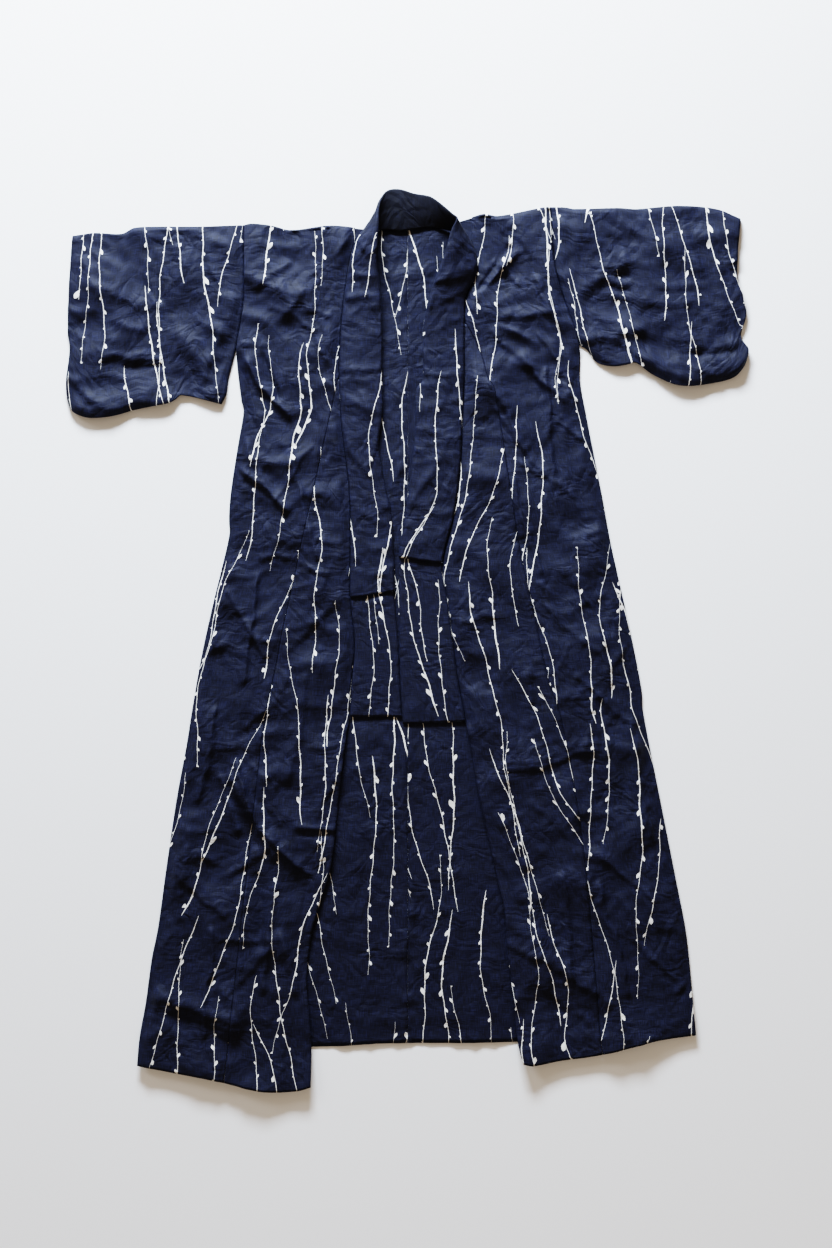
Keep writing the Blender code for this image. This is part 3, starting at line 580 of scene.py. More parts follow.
def cut_piece(name, middle, ways, wall, uv, looped=False):
    """Makes one cut piece of cloth: a flat grid laid on the middle surface and extruded to a closed shell.

    uv is the print's place on the cloth in millimetres. On a looped piece its last row is the first again.
    """
    rows, columns = middle.shape[:2]
    down = rows if looped else rows - 1
    bm = bmesh.new()
    bmesh.ops.create_grid(bm, x_segments=columns - 1, y_segments=down, size=0.5)
    place = bm.verts.layers.int.new("place")
    for vert in bm.verts:
        vert[place] = round((vert.co.y + 0.5) * down) * columns + round((vert.co.x + 0.5) * (columns - 1))
    cloth_uv = bm.loops.layers.uv.new("cloth")
    flat_uv = (uv * MM).reshape(-1, 2).tolist()
    for face in bm.faces:
        for loop in face.loops:
            loop[cloth_uv].uv = flat_uv[loop.vert[place]]
    if looped:
        by_place = {vert[place]: vert for vert in bm.verts}
        last = down * columns
        bmesh.ops.weld_verts(bm, targetmap={by_place[last + k]: by_place[k] for k in range(columns)})
    under = bm.verts.layers.int.new("under")
    whole = bm.verts[:] + bm.edges[:] + bm.faces[:]
    grown = bmesh.ops.extrude_face_region(bm, geom=whole, use_keep_orig=True)
    for part in grown["geom"]:
        if isinstance(part, bmesh.types.BMVert):
            part[under] = 1
    points = middle.reshape(-1, 3).copy()
    points[:, :2] -= PLAN_CENTRE
    step = ways.reshape(-1, 3) * wall.reshape(-1, 1) / 2
    outer, inner = ((points + step) * MM).tolist(), ((points - step) * MM).tolist()
    for vert in bm.verts:
        vert.co = (outer if vert[under] else inner)[vert[place]]
    bmesh.ops.recalc_face_normals(bm, faces=bm.faces[:])
    if bm.calc_volume(signed=True) < 0:
        bmesh.ops.reverse_faces(bm, faces=bm.faces[:])
    bm.verts.layers.int.remove(bm.verts.layers.int["place"])
    bm.verts.layers.int.remove(bm.verts.layers.int["under"])
    mesh = bpy.data.meshes.new(name)
    bm.to_mesh(mesh)
    bm.free()
    mesh.shade_smooth()
    piece = bpy.data.objects.new(name, mesh)
    bpy.context.collection.objects.link(piece)
    return piece


def linear(code):
    """An sRGB hex colour as linear numbers."""
    parts = [int(code[k : k + 2], 16) / 255 for k in (1, 3, 5)]
    return [p / 12.92 if p <= 0.04045 else ((p + 0.055) / 1.055) ** 2.4 for p in parts] + [1]


def add_node(tree, kind, inputs, **settings):
    """Adds a node with its settings and links or values, and gives it back."""
    node = tree.nodes.new(kind)
    for name, value in settings.items():
        setattr(node, name, value)
    for at, value in inputs.items():
        if isinstance(value, bpy.types.NodeSocket):
            tree.links.new(value, node.inputs[at])
        else:
            node.inputs[at].default_value = value
    return node


def work_out(tree, known, steps):
    """Runs a list of sums as Math nodes. Each row: result, operation, then earlier results or numbers."""
    for name, operation, *inputs in steps:
        sockets = {k: known[value] if isinstance(value, str) else value for k, value in enumerate(inputs)}
        known[name] = add_node(tree, "ShaderNodeMath", sockets, operation=operation).outputs[0]
    return known


# Willow twigs are printed along the cloth in four sets of lanes, so that some cross.
# Columns: lane width, pitch along the cloth, sideways start, seed, share of the slant. Millimetres
TWIG_LANES = [
    (112.0, 430.0, 0.0, 3.0, 1.2), (126.0, 500.0, 61.0, 8.0, 0.8), (140.0, 590.0, 25.0, 14.0, 1.0),
    (172.0, 540.0, 96.0, 21.0, -0.2),
]
TWIG_SLANT = {"left": 0.1, "right": -0.1}  # sideways run for each unit of length, outward to the hem
BUD_PITCH = 28.0
PRINT_EDGE = 0.45  # the dye's soft edge
# Where along its lane and how far out each twig runs, then its stem and its buds, in millimetres.
# A bud is a small drop beside the stem and leans from it, its narrow foot on the stem and its broad end out.
TWIG = [
    ("lane_at", "ADD", "u", "start"), ("lane_share", "DIVIDE", "lane_at", "width"),
    ("lane", "FLOOR", "lane_share"), ("in_lane", "FRACT", "lane_share"),
    ("centred", "SUBTRACT", "in_lane", 0.5), ("side", "MULTIPLY", "centred", "width"),
]
TWIG_RUN = [
    ("down_share", "DIVIDE", "v", "pitch"), ("run_at", "ADD", "down_share", "lane_chance"),
    ("run", "FLOOR", "run_at"), ("forth", "FRACT", "run_at"), ("back", "SUBTRACT", 1.0, "forth"),
]
TWIG_STEM = [
    ("turned", "GREATER_THAN", "chance_d", 0.45), ("both", "SUBTRACT", "forth", "back"),
    ("flip", "MULTIPLY", "both", "turned"), ("place", "ADD", "back", "flip"),
    ("length_a", "MULTIPLY", "chance_b", 0.45), ("length", "ADD", "length_a", 0.52),
    ("tip", "DIVIDE", "place", "length"), ("shown", "LESS_THAN", "tip", 1.0),
    ("mm", "MULTIPLY", "place", "pitch"), ("off_a", "SUBTRACT", "chance_a", 0.5),
    ("off", "MULTIPLY", "off_a", 34.0), ("lean_a", "SUBTRACT", "chance_c", 0.5),
    ("lean_b", "MULTIPLY", "lean_a", 118.0), ("mid", "SUBTRACT", "tip", 0.5),
    ("lean", "MULTIPLY", "lean_b", "mid"), ("bow_a", "MULTIPLY", "mid", "mid"),
    ("bow_b", "SUBTRACT", "chance_d", 0.5), ("bow_c", "MULTIPLY", "bow_b", 52.0),
    ("bow", "MULTIPLY", "bow_a", "bow_c"), ("wave_a", "MULTIPLY", "chance_b", 40.0),
    ("wave_b", "MULTIPLY", "tip", 6.6), ("wave_c", "ADD", "wave_a", "wave_b"), ("wave_d", "SINE", "wave_c"),
    ("wave", "MULTIPLY", "wave_d", 5.0), ("bud_at", "DIVIDE", "mm", BUD_PITCH), ("bud", "FLOOR", "bud_at"),
    ("bud_share", "FRACT", "bud_at"), ("kink_a", "PINGPONG", "bud_at", 1.0),
    ("kink_b", "MULTIPLY", "kink_a", 1.6), ("kink", "ADD", "kink_b", "wave"),
    ("line_a", "ADD", "off", "lean"), ("line_b", "ADD", "line_a", "bow"), ("line", "ADD", "line_b", "kink"),
    ("away", "SUBTRACT", "side", "line"), ("near", "ABSOLUTE", "away"), ("foot_a", "SUBTRACT", 0.06, "tip"),
    ("foot_b", "MAXIMUM", "foot_a", 0.0), ("foot", "MULTIPLY", "foot_b", -9.0),
    ("thin_a", "MULTIPLY", "tip", -0.55), ("thin", "ADD", "thin_a", "foot"), ("fine", "ADD", "thin", 0.76),
    ("swell_a", "MULTIPLY", "tip", 5.0), ("swell_b", "MULTIPLY", "chance_a", 6.3),
    ("swell_c", "ADD", "swell_a", "swell_b"), ("swell_d", "SINE", "swell_c"),
    ("swell_e", "MAXIMUM", "swell_d", 0.0), ("swell", "POWER", "swell_e", 2.0),
    ("thick_a", "MULTIPLY", "swell", 0.85), ("thick", "ADD", "thick_a", 1.0),
    ("stem_half", "MULTIPLY", "fine", "thick"), ("stem_in", "SUBTRACT", "stem_half", "near"),
]
TWIG_BUD = [
    ("odd_a", "MODULO", "bud", 2.0), ("odd_b", "ABSOLUTE", "odd_a"), ("odd_c", "MULTIPLY", "bud_a", 0.7),
    ("odd_d", "ADD", "odd_b", "odd_c"), ("odd_e", "GREATER_THAN", "odd_d", 0.55),
    ("odd_f", "MULTIPLY", "odd_e", 2.0), ("hand", "SUBTRACT", "odd_f", 1.0), ("big", "POWER", "bud_b", 2.0),
    ("more_a", "MULTIPLY", "swell", 5.0), ("more", "ADD", "more_a", 4.9),
    ("half_a", "MULTIPLY", "big", "more"), ("half_long", "ADD", "half_a", 1.9),
    ("half_b", "MULTIPLY", "half_long", 0.31), ("half_wide", "ADD", "half_b", 0.35),
    ("out_a", "MULTIPLY", "half_wide", 0.8), ("out_b", "ADD", "out_a", 0.4),
    ("out", "MULTIPLY", "out_b", "hand"), ("x_one", "SUBTRACT", "away", "out"),
    ("bx", "MULTIPLY", "x_one", "hand"), ("jit_a", "SUBTRACT", "bud_c", 0.5),
    ("jit_b", "MULTIPLY", "jit_a", 21.0), ("calm", "SUBTRACT", 1.0, "big"),
    ("jit", "MULTIPLY", "jit_b", "calm"), ("by_a", "SUBTRACT", "bud_share", 0.5),
    ("by_b", "MULTIPLY", "by_a", BUD_PITCH), ("by", "SUBTRACT", "by_b", "jit"),
    ("r_a", "MULTIPLY", "bx", 0.9), ("r_b", "MULTIPLY", "by", 0.43), ("r_c", "MULTIPLY", "bx", 0.43),
    ("r_d", "MULTIPLY", "by", 0.9), ("rx", "SUBTRACT", "r_a", "r_b"), ("ry", "ADD", "r_c", "r_d"),
    ("end", "DIVIDE", "ry", "half_long"), ("drop_a", "MULTIPLY", "end", 0.7),
    ("drop_b", "ADD", "drop_a", 1.0), ("drop", "MAXIMUM", "drop_b", 0.2),
    ("end2", "MULTIPLY", "end", "end"), ("lens", "SUBTRACT", 1.0, "end2"),
    ("wide_a", "MULTIPLY", "half_wide", "drop"), ("wide_here", "MULTIPLY", "wide_a", "lens"),
    ("sx", "ABSOLUTE", "rx"), ("bud_in", "SUBTRACT", "wide_here", "sx"),
    ("at_tip", "LESS_THAN", "tip", 0.05), ("cut", "MULTIPLY", "at_tip", 20.0),
    ("bud_kept", "SUBTRACT", "bud_in", "cut"), ("inside", "MAXIMUM", "stem_in", "bud_kept"),
    ("edge", "DIVIDE", "inside", PRINT_EDGE), ("half_edge", "ADD", "edge", 0.5),
    ("white_a", "MINIMUM", "half_edge", 1.0), ("white_b", "MAXIMUM", "white_a", 0.0),
    ("white", "MULTIPLY", "white_b", "shown"),
]
NAVY = "#0A0E1D"
NAVY_WORN = "#192039"
NAVY_DEEP = "#070914"
PRINT_WHITE = "#D6D4CD"
NECK_PAINTED_SHADE = (60.0, 125.0, 0.42)  # painted shade inside the standing collar: distances from the neck's middle where it pales and where it is gone, and its darkest
# How the print's edge, the twigs and the fine creases stray. Columns: noise scale, detail, reach over x and y
STRAYS = {
    "edge": (0.33, 1.0, (1.2, 1.2, 0.0)), "twigs": (0.0042, 1.0, (54.0, 0.0, 0.0)),
    "creases": (0.02, 2.0, (44.0, 44.0, 0.0)),
}
WORN_THREADS = (0.9, 2.4)  # where in the weave's noise worn threads begin, and how fast they pale
PRINT_COVER = (0.35, 0.68)  # the threads' share in the white's cover, and the rest of it
CREASE_RELIEF = 0.0019  # metres
THREAD_RELIEF = 0.00025
# Dry matt cotton, with a broad faint shine along worn folds
CLOTH_FINISH = {
    "Roughness": 0.68, "IOR": 1.5, "Specular IOR Level": 0.2, "Sheen Weight": 0.01, "Sheen Roughness": 0.5,
}
# Fine crisp creases left by washing and folding, too narrow for the mesh.
# Columns: turn, width across, length along, where its patches lie, depth
FINE_CREASES = [(0.5, 26.0, 84.0, 0.0, 1.6), (-0.75, 19.0, 62.0, 300.0, 1.1), (1.5, 14.0, 70.0, 700.0, 0.7)]
WEAVE_MM = 0.9  # threads are about 0.45 mm apart; drawn twice as coarse so that they show


def willow_cotton(name, shift, plain=None, slant=0.0):
    """Navy-dyed plain-weave cotton with resist-printed willow twigs in off-white. It's washed soft, dry and
    matt: a faint broad sheen from its fibre ends, slubs in both thread directions, and paler worn threads.
    Between the two ends of `plain` it has no twigs, and painted shade darkens it towards their middle, inside
    the neck."""
    material = bpy.data.materials.new(name)
    material.use_nodes = True
    tree = material.node_tree
    shader = tree.nodes["Principled BSDF"]
    uv = add_node(tree, "ShaderNodeUVMap", {}, uv_map="cloth").outputs[0]
    in_mm = add_node(tree, "ShaderNodeVectorMath", {0: uv, 1: (1 / MM, 1 / MM, 0.0)},
                     operation="MULTIPLY").outputs[0]
    moved = add_node(tree, "ShaderNodeVectorMath", {0: in_mm, 1: (*shift, 0.0)}, operation="ADD").outputs[0]
    stray = {}
    for what, (scale, detail, reach) in STRAYS.items():
        noise = add_node(tree, "ShaderNodeTexNoise", {"Vector": moved, "Scale": scale, "Detail": detail})
        centred = add_node(tree, "ShaderNodeVectorMath", {0: noise.outputs["Color"], 1: (0.5, 0.5, 0.5)},
                           operation="SUBTRACT").outputs[0]
        stray[what] = add_node(tree, "ShaderNodeVectorMath", {0: centred, 1: reach},
                               operation="MULTIPLY").outputs[0]
    printed = add_node(tree, "ShaderNodeVectorMath", {0: moved, 1: stray["edge"]}, operation="ADD").outputs[0]
    printed = add_node(tree, "ShaderNodeVectorMath", {0: printed, 1: stray["twigs"]},
                       operation="ADD").outputs[0]
    split = add_node(tree, "ShaderNodeSeparateXYZ", {0: printed})
    twigs = None
    for width, pitch, start, seed, share in TWIG_LANES:
        slanted = add_node(tree, "ShaderNodeMath",
                           {0: split.outputs[1], 1: slant * share, 2: split.outputs[0]},
                           operation="MULTIPLY_ADD").outputs[0]
        known = {"u": slanted, "v": split.outputs[1], "width": width, "pitch": pitch, "start": start}
        work_out(tree, known, TWIG)
        spot = add_node(tree, "ShaderNodeCombineXYZ", {0: known["lane"], 1: seed, 2: 0.5}).outputs[0]
        lane = add_node(tree, "ShaderNodeTexWhiteNoise", {"Vector": spot}, noise_dimensions="3D")
        known["lane_chance"] = lane.outputs["Value"]
        work_out(tree, known, TWIG_RUN)
        spot = add_node(tree, "ShaderNodeCombineXYZ", {0: known["lane"], 1: known["run"], 2: seed}).outputs[0]
        twig = add_node(tree, "ShaderNodeTexWhiteNoise", {"Vector": spot}, noise_dimensions="3D")
        chances = add_node(tree, "ShaderNodeSeparateColor", {0: twig.outputs["Color"]})
        known["chance_d"] = twig.outputs["Value"]
        known.update(zip(("chance_a", "chance_b", "chance_c"), chances.outputs))
        work_out(tree, known, TWIG_STEM)
        spot = add_node(tree, "ShaderNodeCombineXYZ",
                        {0: known["bud"], 1: known["chance_d"], 2: seed}).outputs[0]
        bud = add_node(tree, "ShaderNodeTexWhiteNoise", {"Vector": spot}, noise_dimensions="3D")
        chances = add_node(tree, "ShaderNodeSeparateColor", {0: bud.outputs["Color"]})
        known.update(zip(("bud_a", "bud_b", "bud_c"), chances.outputs))
        work_out(tree, known, TWIG_BUD)
        white = known["white"]
        twigs = white if twigs is None else add_node(tree, "ShaderNodeMath", {0: twigs, 1: white},
                                                     operation="MAXIMUM").outputs[0]

    kept = 1.0
    if plain:
        middle, reach = (plain[0] + plain[1]) / 2, (plain[1] - plain[0]) / 2
        along = add_node(tree, "ShaderNodeSeparateXYZ", {0: in_mm}).outputs[1]
        bare = add_node(tree, "ShaderNodeMath", {0: along, 1: middle, 2: reach}, operation="COMPARE")
        kept = add_node(tree, "ShaderNodeMath", {0: 1.0, 1: bare.outputs[0]}, operation="SUBTRACT").outputs[0]
        twigs = add_node(tree, "ShaderNodeMath", {0: twigs, 1: kept}, operation="MULTIPLY").outputs[0]
        # Painted shade: the navy darkens towards the middle of the plain stretch, inside the standing collar
        # at the neck.
        from_neck = add_node(tree, "ShaderNodeMath", {0: along, 1: middle}, operation="SUBTRACT").outputs[0]
        from_neck = add_node(tree, "ShaderNodeMath", {0: from_neck}, operation="ABSOLUTE").outputs[0]
        shade_end, shade_gone, darkest = NECK_PAINTED_SHADE
        kept = add_node(tree, "ShaderNodeMapRange",
                        {0: from_neck, 1: shade_end, 2: shade_gone, 3: darkest, 4: 1.0}).outputs[0]

    threads = []
    for stretch in ((1 / WEAVE_MM, 0.05, 0.0), (0.05, 1 / WEAVE_MM, 0.0)):
        along = add_node(tree, "ShaderNodeVectorMath", {0: moved, 1: stretch}, operation="MULTIPLY")
        thread = add_node(tree, "ShaderNodeTexNoise",
                          {"Vector": along.outputs[0], "Scale": 1.0, "Detail": 1.0})
        threads.append(thread.outputs[0])
    weave = add_node(tree, "ShaderNodeMath", {0: threads[0], 1: threads[1]}, operation="ADD").outputs[0]
    bent = add_node(tree, "ShaderNodeVectorMath", {0: moved, 1: stray["creases"]}, operation="ADD").outputs[0]
    crinkle = None
    for angle, across_mm, along_mm, patch, deep in FINE_CREASES:
        turned = add_node(tree, "ShaderNodeVectorRotate", {"Vector": bent, "Angle": angle},
                          rotation_type="Z_AXIS").outputs[0]
        stretch = (1 / across_mm, 1 / along_mm, 0.0)
        turned = add_node(tree, "ShaderNodeVectorMath", {0: turned, 1: stretch}, operation="MULTIPLY")
        ridge = add_node(tree, "ShaderNodeTexVoronoi", {"Vector": turned.outputs[0], "Scale": 1.0},
                         feature="DISTANCE_TO_EDGE", voronoi_dimensions="2D")
        at = add_node(tree, "ShaderNodeVectorMath", {0: moved, 1: (patch, -patch, 0.0)}, operation="ADD")
        where = add_node(tree, "ShaderNodeTexNoise", {"Vector": at.outputs[0], "Scale": 0.011, "Detail": 1.0})
        here = add_node(tree, "ShaderNodeMapRange",
                        {0: where.outputs[0], 1: 0.4, 2: 0.62, 3: 0.1 * deep, 4: deep}).outputs[0]
        crease = add_node(tree, "ShaderNodeMath", {0: ridge.outputs["Distance"], 1: here},
                          operation="MULTIPLY").outputs[0]
        crinkle = crease if crinkle is None else add_node(tree, "ShaderNodeMath", {0: crinkle, 1: crease},
                                                          operation="ADD").outputs[0]
    patches = add_node(tree, "ShaderNodeTexNoise", {"Vector": moved, "Scale": 0.022, "Detail": 3.0})
    dye = add_node(tree, "ShaderNodeValToRGB", {0: patches.outputs[0]})
    for stop, position, shade in zip(dye.color_ramp.elements, (0.1, 0.6), (NAVY_DEEP, NAVY)):
        stop.position, stop.color = position, linear(shade)
    worn = add_node(tree, "ShaderNodeMath", {0: weave, 1: WORN_THREADS[0]}, operation="SUBTRACT").outputs[0]
    faded = add_node(tree, "ShaderNodeMath", {0: worn, 1: WORN_THREADS[1]}, operation="MULTIPLY",
                     use_clamp=True).outputs[0]
    navy = add_node(tree, "ShaderNodeMix", {0: faded, 6: dye.outputs[0], 7: linear(NAVY_WORN)},
                    data_type="RGBA").outputs[2]
    # The painted neck shade is multiplied into the navy here.
    shade = add_node(tree, "ShaderNodeCombineXYZ", {0: kept, 1: kept, 2: kept}).outputs[0]
    navy = add_node(tree, "ShaderNodeMix", {0: 1.0, 6: navy, 7: shade}, data_type="RGBA",
                    blend_type="MULTIPLY").outputs[2]
    cover = add_node(tree, "ShaderNodeMath", {0: weave, 1: PRINT_COVER[0]}, operation="MULTIPLY").outputs[0]
    cover = add_node(tree, "ShaderNodeMath", {0: cover, 1: PRINT_COVER[1]}, operation="ADD",
                     use_clamp=True).outputs[0]
    cover = add_node(tree, "ShaderNodeMath", {0: twigs, 1: cover}, operation="MULTIPLY").outputs[0]
    colour = add_node(tree, "ShaderNodeMix", {0: cover, 6: navy, 7: linear(PRINT_WHITE)},
                      data_type="RGBA").outputs[2]
    tree.links.new(colour, shader.inputs["Base Color"])
    relief = add_node(tree, "ShaderNodeBump", {"Height": crinkle, "Strength": 1.0, "Distance": CREASE_RELIEF})
    fine = add_node(tree, "ShaderNodeBump", {"Height": weave, "Strength": 0.5, "Distance": THREAD_RELIEF,
                                             "Normal": relief.outputs[0]})
    tree.links.new(fine.outputs[0], shader.inputs["Normal"])
    for socket, value in CLOTH_FINISH.items():
        shader.inputs[socket].default_value = value
    return material


for side, shift in (("left", (34.0, 260.0)), ("right", (1530.0, 90.0))):
    piece = cut_piece("body_" + side + "_cloth", *body(side))
    cotton = willow_cotton("Willow-print cotton, body " + side, shift, slant=TWIG_SLANT[side])
    piece.data.materials.append(cotton)
    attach(piece, "root")
    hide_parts("body_" + side)

# The two overlap panels: long tapered pieces of the same cotton, sewn between a body front and the collar.
# Each begins in a point beside the collar and widens to the hem. Its free edge is turned in below the collar.
OVERLAP_STEPS = 34
EDGE_DEPTH = 10.0  # width turned in along the free edge
EDGE_BEGINS = 12  # it thickens to its full turn over this length below the collar


def overlap(side):
    rows = Rows(side)
    s = sign(side)
    seam = rows.seam[rows.tip :].copy()
    edge = rows.edge[rows.tip :].copy()
    seam[:, 0] -= s * SEAM_GAP / 2
    sewn = rows.edge_y[rows.tip :] >= collar_rows(side)[-1][1]
    edge[:, 0] += s * np.where(sewn, COLLAR_SEAM_GAP, 0)
    grid = bend_hem(sheet_rows(seam, edge, OVERLAP_STEPS), FRONT_HEM[side])
    x, y = grid[..., 0], grid[..., 1]
    from_edge = np.abs(x - curve(FRONT_LINE[side], y))
    below_collar = smooth((collar_rows(side)[-1][1] - y) / EDGE_BEGINS)
    edge_wall = CLOTH + (hem_cloth(from_edge + HEM_DEPTH - EDGE_DEPTH) - CLOTH) * below_collar
    wall = np.maximum(hem_cloth(y - across(FRONT_HEM[side], x)), edge_wall)
    uv = np.stack([from_edge, -y], -1)
    grid, ways = with_height(grid, front_height(side, x, y), 1)
    return grid, ways, wall, uv


for side, shift in (("left", (330.0, 120.0)), ("right", (3020.0, 410.0))):
    piece = cut_piece("overlap_" + side + "_cloth", *overlap(side))
    cotton = willow_cotton("Willow-print cotton, overlap " + side, shift, slant=TWIG_SLANT[side])
    piece.data.materials.append(cotton)
    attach(piece, "root")
    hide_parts("overlap_" + side)

# The two short sleeves: each is one rectangle of the cotton folded on top, seamed below and sewn to the body.
# The outer lower corner is rounded and gathered, and the cuff is a plain turned hem.
SLEEVE_STEPS = 66
SLEEVE_LOW_STEPS = 20
# Edges of the sleeves. Columns: x, y
SLEEVE_TOP = {
    "left": [
        (-298, 757), (-304, 757), (-396, 754), (-447, 754), (-497, 752), (-520, 741), (-569, 743),
        (-609, 737),
    ],
    "right": [
        (258, 790), (287, 789), (302, 786), (384, 788), (415, 786), (491, 792), (562, 786), (605, 768),
    ],
}
CUFF = {
    "left": [(-609, 737), (-614, 667), (-618, 559), (-614, 534), (-620, 472), (-620, 443)],
    "right": [
        (605, 768), (600, 717), (599, 661), (607, 634), (615, 596), (605, 557), (608, 546), (618, 532),
        (618, 518),
    ],
}
# The left sleeve hangs open below the underarm; the right one is drawn up level with it. Columns: x, y
SLEEVE_LOW_IN = {"left": [(-311, 534), (-325, 481), (-329, 449), (-338, 430)], "right": []}
SLEEVE_BOTTOM = {
    "left": [
        (-338, 430), (-411, 447), (-421, 439), (-433, 432), (-496, 420), (-533, 409), (-568, 405),
        (-588, 407),
        (-611, 419), (-620, 443),
    ],
    "right": [
        (311, 539), (325, 530), (343, 507), (373, 499), (403, 503), (413, 506), (439, 488), (464, 474),
        (487, 465),
        (515, 463), (551, 468), (592, 479), (610, 498), (618, 518),
    ],
}
# How far the lower edges of the sleeves stand off the floor. Columns: x, y, height, reach
SLEEVE_RISE = [
    (-560, 405, 12.0, 75), (-440, 425, 14.0, 60), (-360, 430, 9.0, 60),
    (400, 495, 13.0, 48), (500, 462, 15.0, 70), (600, 500, 11.0, 60),
]
SLEEVE_TOP = {side: soft(table) for side, table in SLEEVE_TOP.items()}
CUFF = {side: soft(table) for side, table in CUFF.items()}
SLEEVE_BOTTOM = {side: soft(table) for side, table in SLEEVE_BOTTOM.items()}
SLEEVE_RISE_SHARE = 0.65  # the soft cloth settles this much of the way down
SLEEVE_LEAN = 0.1  # the print leans this much over the sleeve's girth, since the sleeve is sewn on aslant
SLEEVE_CREASE_GAIN = 2.6
SLEEVE_FACETS = [(4.6, 56, 73), (1.8, 23, 87)]
# Columns: from x, y, to x, y, height, half width
SLEEVE_CREASES = [
    (-458, 694, -445, 616, -1.6, 7), (-470, 690, -458, 610, 1.8, 7), (-324, 559, -353, 457, -1.8, 9),
    (-340, 575, -372, 470, 1.8, 8), (-520, 512, -449, 508, 1.6, 5), (-520, 497, -449, 494, -1.2, 5),
    (-565, 521, -565, 436, 1.2, 4), (-560, 521, -470, 521, 1.0, 4), (362, 668, 413, 657, -2.2, 6),
    (353, 638, 407, 629, -2.2, 6), (365, 652, 410, 643, 1.8, 6), (302, 723, 335, 723, 1.4, 4),
    (367, 549, 498, 472, 1.8, 8), (498, 528, 593, 538, 1.6, 5), (498, 518, 593, 527, -1.2, 5),
    (585, 539, 616, 490, 1.4, 4), (570, 530, 598, 482, 1.2, 4), (548, 530, 570, 478, 1.1, 5),
    (-600, 470, -570, 425, 1.2, 4), (-590, 455, -560, 415, 1.0, 4), (-575, 440, -540, 412, 1.0, 4),
    (-380, 730, -340, 640, 1.2, 8), (-430, 590, -380, 520, 1.2, 8), (-590, 700, -560, 600, 1.1, 8),
    (-540, 580, -480, 560, 1.2, 7), (420, 770, 470, 700, 1.2, 8), (500, 760, 530, 660, 1.2, 8),
    (570, 740, 590, 660, 1.0, 7), (450, 650, 540, 640, 1.3, 7), (330, 600, 380, 560, 1.3, 7),
]


def distances(points):
    """How far along a line each of its points lies."""
    return np.concatenate([[0], np.cumsum(np.linalg.norm(np.diff(points, axis=0), axis=-1))])


def even(table, shares):
    """Points at shares of an edge's length."""
    points = np.array(table, float)
    length = distances(points)
    length /= length[-1]
    return np.stack([np.interp(shares, length, points[:, k]) for k in (0, 1)], -1)


def sleeve_rise(x, y):
    """How far a sleeve's under layer stands off the floor."""
    rise = np.zeros_like(x)
    for x0, y0, high, reach in SLEEVE_RISE:
        rise = np.maximum(rise, high * smooth(1 - np.hypot((x - x0) / 1.5, y - y0) / reach))
    return SLEEVE_RISE_SHARE * rise


def patch(top, bottom, inner, cuff, shares):
    """A grid filled between four edges; the inner edge gives the rows."""
    length = distances(inner)
    down = (length / length[-1])[:, None, None]
    side = shares[None, :, None]
    upper, lower = even(top, shares)[None], even(bottom, shares)[None]
    outer = even(cuff, down[:, 0, 0])[:, None]
    inner = inner[:, None]
    corners = (
        (1 - side) * (1 - down) * inner[:1] + side * (1 - down) * outer[:1]
        + (1 - side) * down * inner[-1:] + side * down * outer[-1:]
    )
    return (1 - down) * upper + down * lower + (1 - side) * inner + side * outer - corners


def unit(ways):
    return ways / np.linalg.norm(ways, axis=-1, keepdims=True)


def lie(points):
    """Direction of a row of points at each point: the mean of the steps before and after it."""
    steps = unit(np.diff(points, axis=0))
    return unit(np.concatenate([steps[:1], steps]) + np.concatenate([steps, steps[-1:]]))


def outwards(edge, before, up):
    """Directions in plan out of the cloth: between square to the edge and on from the row before it."""
    along = lie(edge)
    square = np.stack([-along[:, 1], along[:, 0]], -1)
    onward = unit(edge - before)
    square *= np.sign(square[:, 1:] * up)
    return unit(square + onward)


